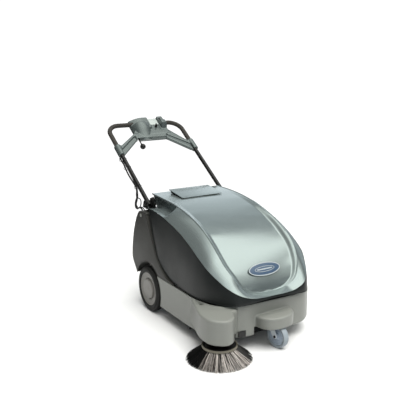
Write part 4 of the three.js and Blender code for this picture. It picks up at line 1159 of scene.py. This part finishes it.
console = combined(
    arms, *adding(console_block, barrel, chin, *sleeves),
    *taking(*[slab(outline(corners, 8), 3, 30) for corners in (arm_step, with_mirror(arm_step)[4:])]))
# Bores and slots are cut after the melting, so that they keep their size.
console = cut(
    melted(console, 1.7, 24),
    *[rod("y", 395, 495, 14.5, (side * HANDLE_X, 0), 48, 0.1) for side in (-1, 1)],
    rod("x", -140, 150, 14.6, (GRIP_TOP, 0), 48, 0.1), block(LEVER_X - 8, LEVER_X + 8, 500, 562, -30, 10, 2),
    rod("z", 23, 40, 6.8, BUTTON_AT, 32, 0.1),
    slab(outline(rectangle(LEVER_X - 20, LEVER_X + 20, 440, 506, 3)), -40, 30))
on_handle("console_moulding", console, CONSOLE, "console_housing", sharp=40)
display = merge(
    slab(outline(rectangle(35, 93, 641, 699, 5)), 17.4, 19.6, 0, 0.6),
    slab(outline(rectangle(43, 85, 664, 692, 3)), 19.4, 20.0, 0, 0.3))
on_handle("display_face", display, DISPLAY, "display_panel")
key_blade = rectangle(KEY_AT[0] - 1.5, KEY_AT[0] + 1.5, KEY_AT[1] - 12, KEY_AT[1] + 12, 1.2)
key = merge(
    rod("z", 17.4, 25, 8, KEY_AT, 40, 0.8), rod("z", 24.6, 26.4, 6.2, KEY_AT, 40, 0.5),
    slab(outline(key_blade, 3), 25, 39, 0.4, 1.0))
on_handle("key_barrel", key, BLACK, "key_switch", "key")
button = rod("z", 29, 35, 6, BUTTON_AT, 32, 1.2)
on_handle("start_cap", button, BLACK, "start_button", "button")


def ball(radius, at, segments=32):
    profile = [(radius * math.sin(math.pi * k / segments), at[1] + radius * math.cos(math.pi * k / segments))
               for k in range(segments + 1)]
    return revolve(profile, segments, "y", (at[0], 0, at[2]))


lever = merge(
    ball(17, (LEVER_X, 468, 0)),
    tube([(LEVER_X, t, 0) for t in (482, 500, 530, LEVER_PIVOT)], 3.6, 20),
    rod("x", LEVER_X - 7, LEVER_X + 7, 7, (LEVER_PIVOT, 0), 32),
    revolve(softened([(0, 490), (6.4, 490), (6.4, 482), (9, 480)], 0.8), 24, "y", (LEVER_X, 0, 0)))
on_handle("lever_and_ball", lever, BLACK, "brush_lever", "lever")


def star_knob():
    """Star knob that clamps the left tube, with its stud and outer nut."""
    loop = []
    for i in range(144):
        a = 2 * math.pi * i / 144
        r = 29.4 + 2.6 * math.cos(8 * a) + 0.5 * math.cos(16 * a)
        loop.append((PIVOT[0] + r * math.cos(a), PIVOT[1] + r * math.sin(a)))
    head = slab(np.array(loop), 214, 228, 2.5, 1.5, "x", 4)
    boss = revolve(softened([(0, 213.4), (15, 213.4), (17, 215)], 1), 48, "x", (0, *PIVOT))
    nut = slab(hexagon(11, PIVOT), 267.4, 273, 0.6, 1.2, "x")
    return merge(head, boss, rod("x", 226, 268, 5, PIVOT, 24), nut)


for side, label in SIDES:
    piece(f"clamp_knob_{label}", on_side(side, star_knob()), BLACK, f"knob_{label}",
          [f"star_knob_{label}"])

# ---------------------------------------------------------------- cables
# Each runs down the right tube, in the handle's frame, and on in slack from the handle to the body.
MAIN_CABLE = [
    (-262, 398, -14), (-265, 370, -7), (-266, 330, -3), (-270, 285, -2), (-272, 240, -2), (-269, 190, -3),
    (-266, 150, -5), (-268, 120, -13), (-274, 100, -26)]
SECOND_CABLE = [
    (-257, 400, -17), (-260, 372, -12), (-262, 335, 7), (-263, 290, 8), (-264, 235, 7), (-264, 180, 4),
    (-263, 130, -8), (-268, 100, -22)]
main_end, second_end = from_handle([MAIN_CABLE[-1], SECOND_CABLE[-1]])
MAIN_SLACK = [
    main_end, (-276, 219, 590), (-283, 221, 566), (-287, 214, 542), (-288, 192, 533), (-286, 162, 545),
    (-285, 138, 542), (-285, 122, 528)]
SECOND_SLACK = [
    second_end, (-272, 214, 596), (-280, 207, 576), (-290, 196, 556), (-286, 176, 540), (-280, 160, 560),
    (-276, 170, 588), (-282, 196, 592), (-290, 206, 566), (-286, 190, 540), (-279, 150, 549),
    (-275, 120, 536), (-275, 112, 527)]


def cable(points, count, radius, sides):
    return tube(Spline(points).sample(count), radius, sides)


cables = merge(cable(MAIN_CABLE, 90, 4.4, 16), cable(SECOND_CABLE, 90, 3.2, 12))
on_handle("handle_cables", cables, CABLE, "control_cable", sharp=60)
round_turn = np.linspace(0, 2 * math.pi, 49)[:-1]
ties = merge(*[
    tube([(-256 + 22 * math.cos(a), t, -2 + 16 * math.sin(a)) for a in round_turn], 1.3, 8, closed=True)
    for t in (372, 300, 140)])
on_handle("cable_ties", ties, BLACK, "control_cable", sharp=60)
slack_shape = merge(cable(MAIN_SLACK, 90, 4.0, 14), cable(SECOND_SLACK, 160, 3.0, 12))
slack = piece("cable_slack", slack_shape, CABLE, "chassis", ["cable_loop"], 60)
slack.parent = None
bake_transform(slack)

# ---------------------------------------------------------------- CAD pieces whose shape is right
def repaint(material, *nodes):
    """The CAD solid is shown as it is, in a better material."""
    for node in nodes:
        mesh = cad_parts[node].data
        mesh.materials.clear()
        mesh.materials.append(material)


# castor_plate is in black steel; its black is also painted shade for the dark gap between the castor lobe and
# its wheel.
repaint(BLACK_STEEL, "rear_crossmember", "hinge_leaf_right", "hinge_leaf_left", "handle_bracket_right",
        "handle_bracket_left", "brush_motor", "fan_motor", "side_gearmotor", "main_brush_core",
        "castor_plate")
# bumper_window is painted black: painted shade for the shade inside the window in the bumper.
repaint(BLACK, "bumper_window", "fan_housing", "hopper_handle")
repaint(RUBBER, "front_seal", "side_seal_right", "side_seal_left", "chamber_seal", "drive_belt")
repaint(PLATED, "stub_axle_right", "stub_axle_left", "motor_deck", "filter_tray", "motor_pulley",
        "fan_impeller")
repaint(BATTERY, "battery_1", "battery_2")
repaint(ORANGE, "filter_frame")
repaint(PAPER, "filter_panel")
repaint(BODY, "hopper_bin")
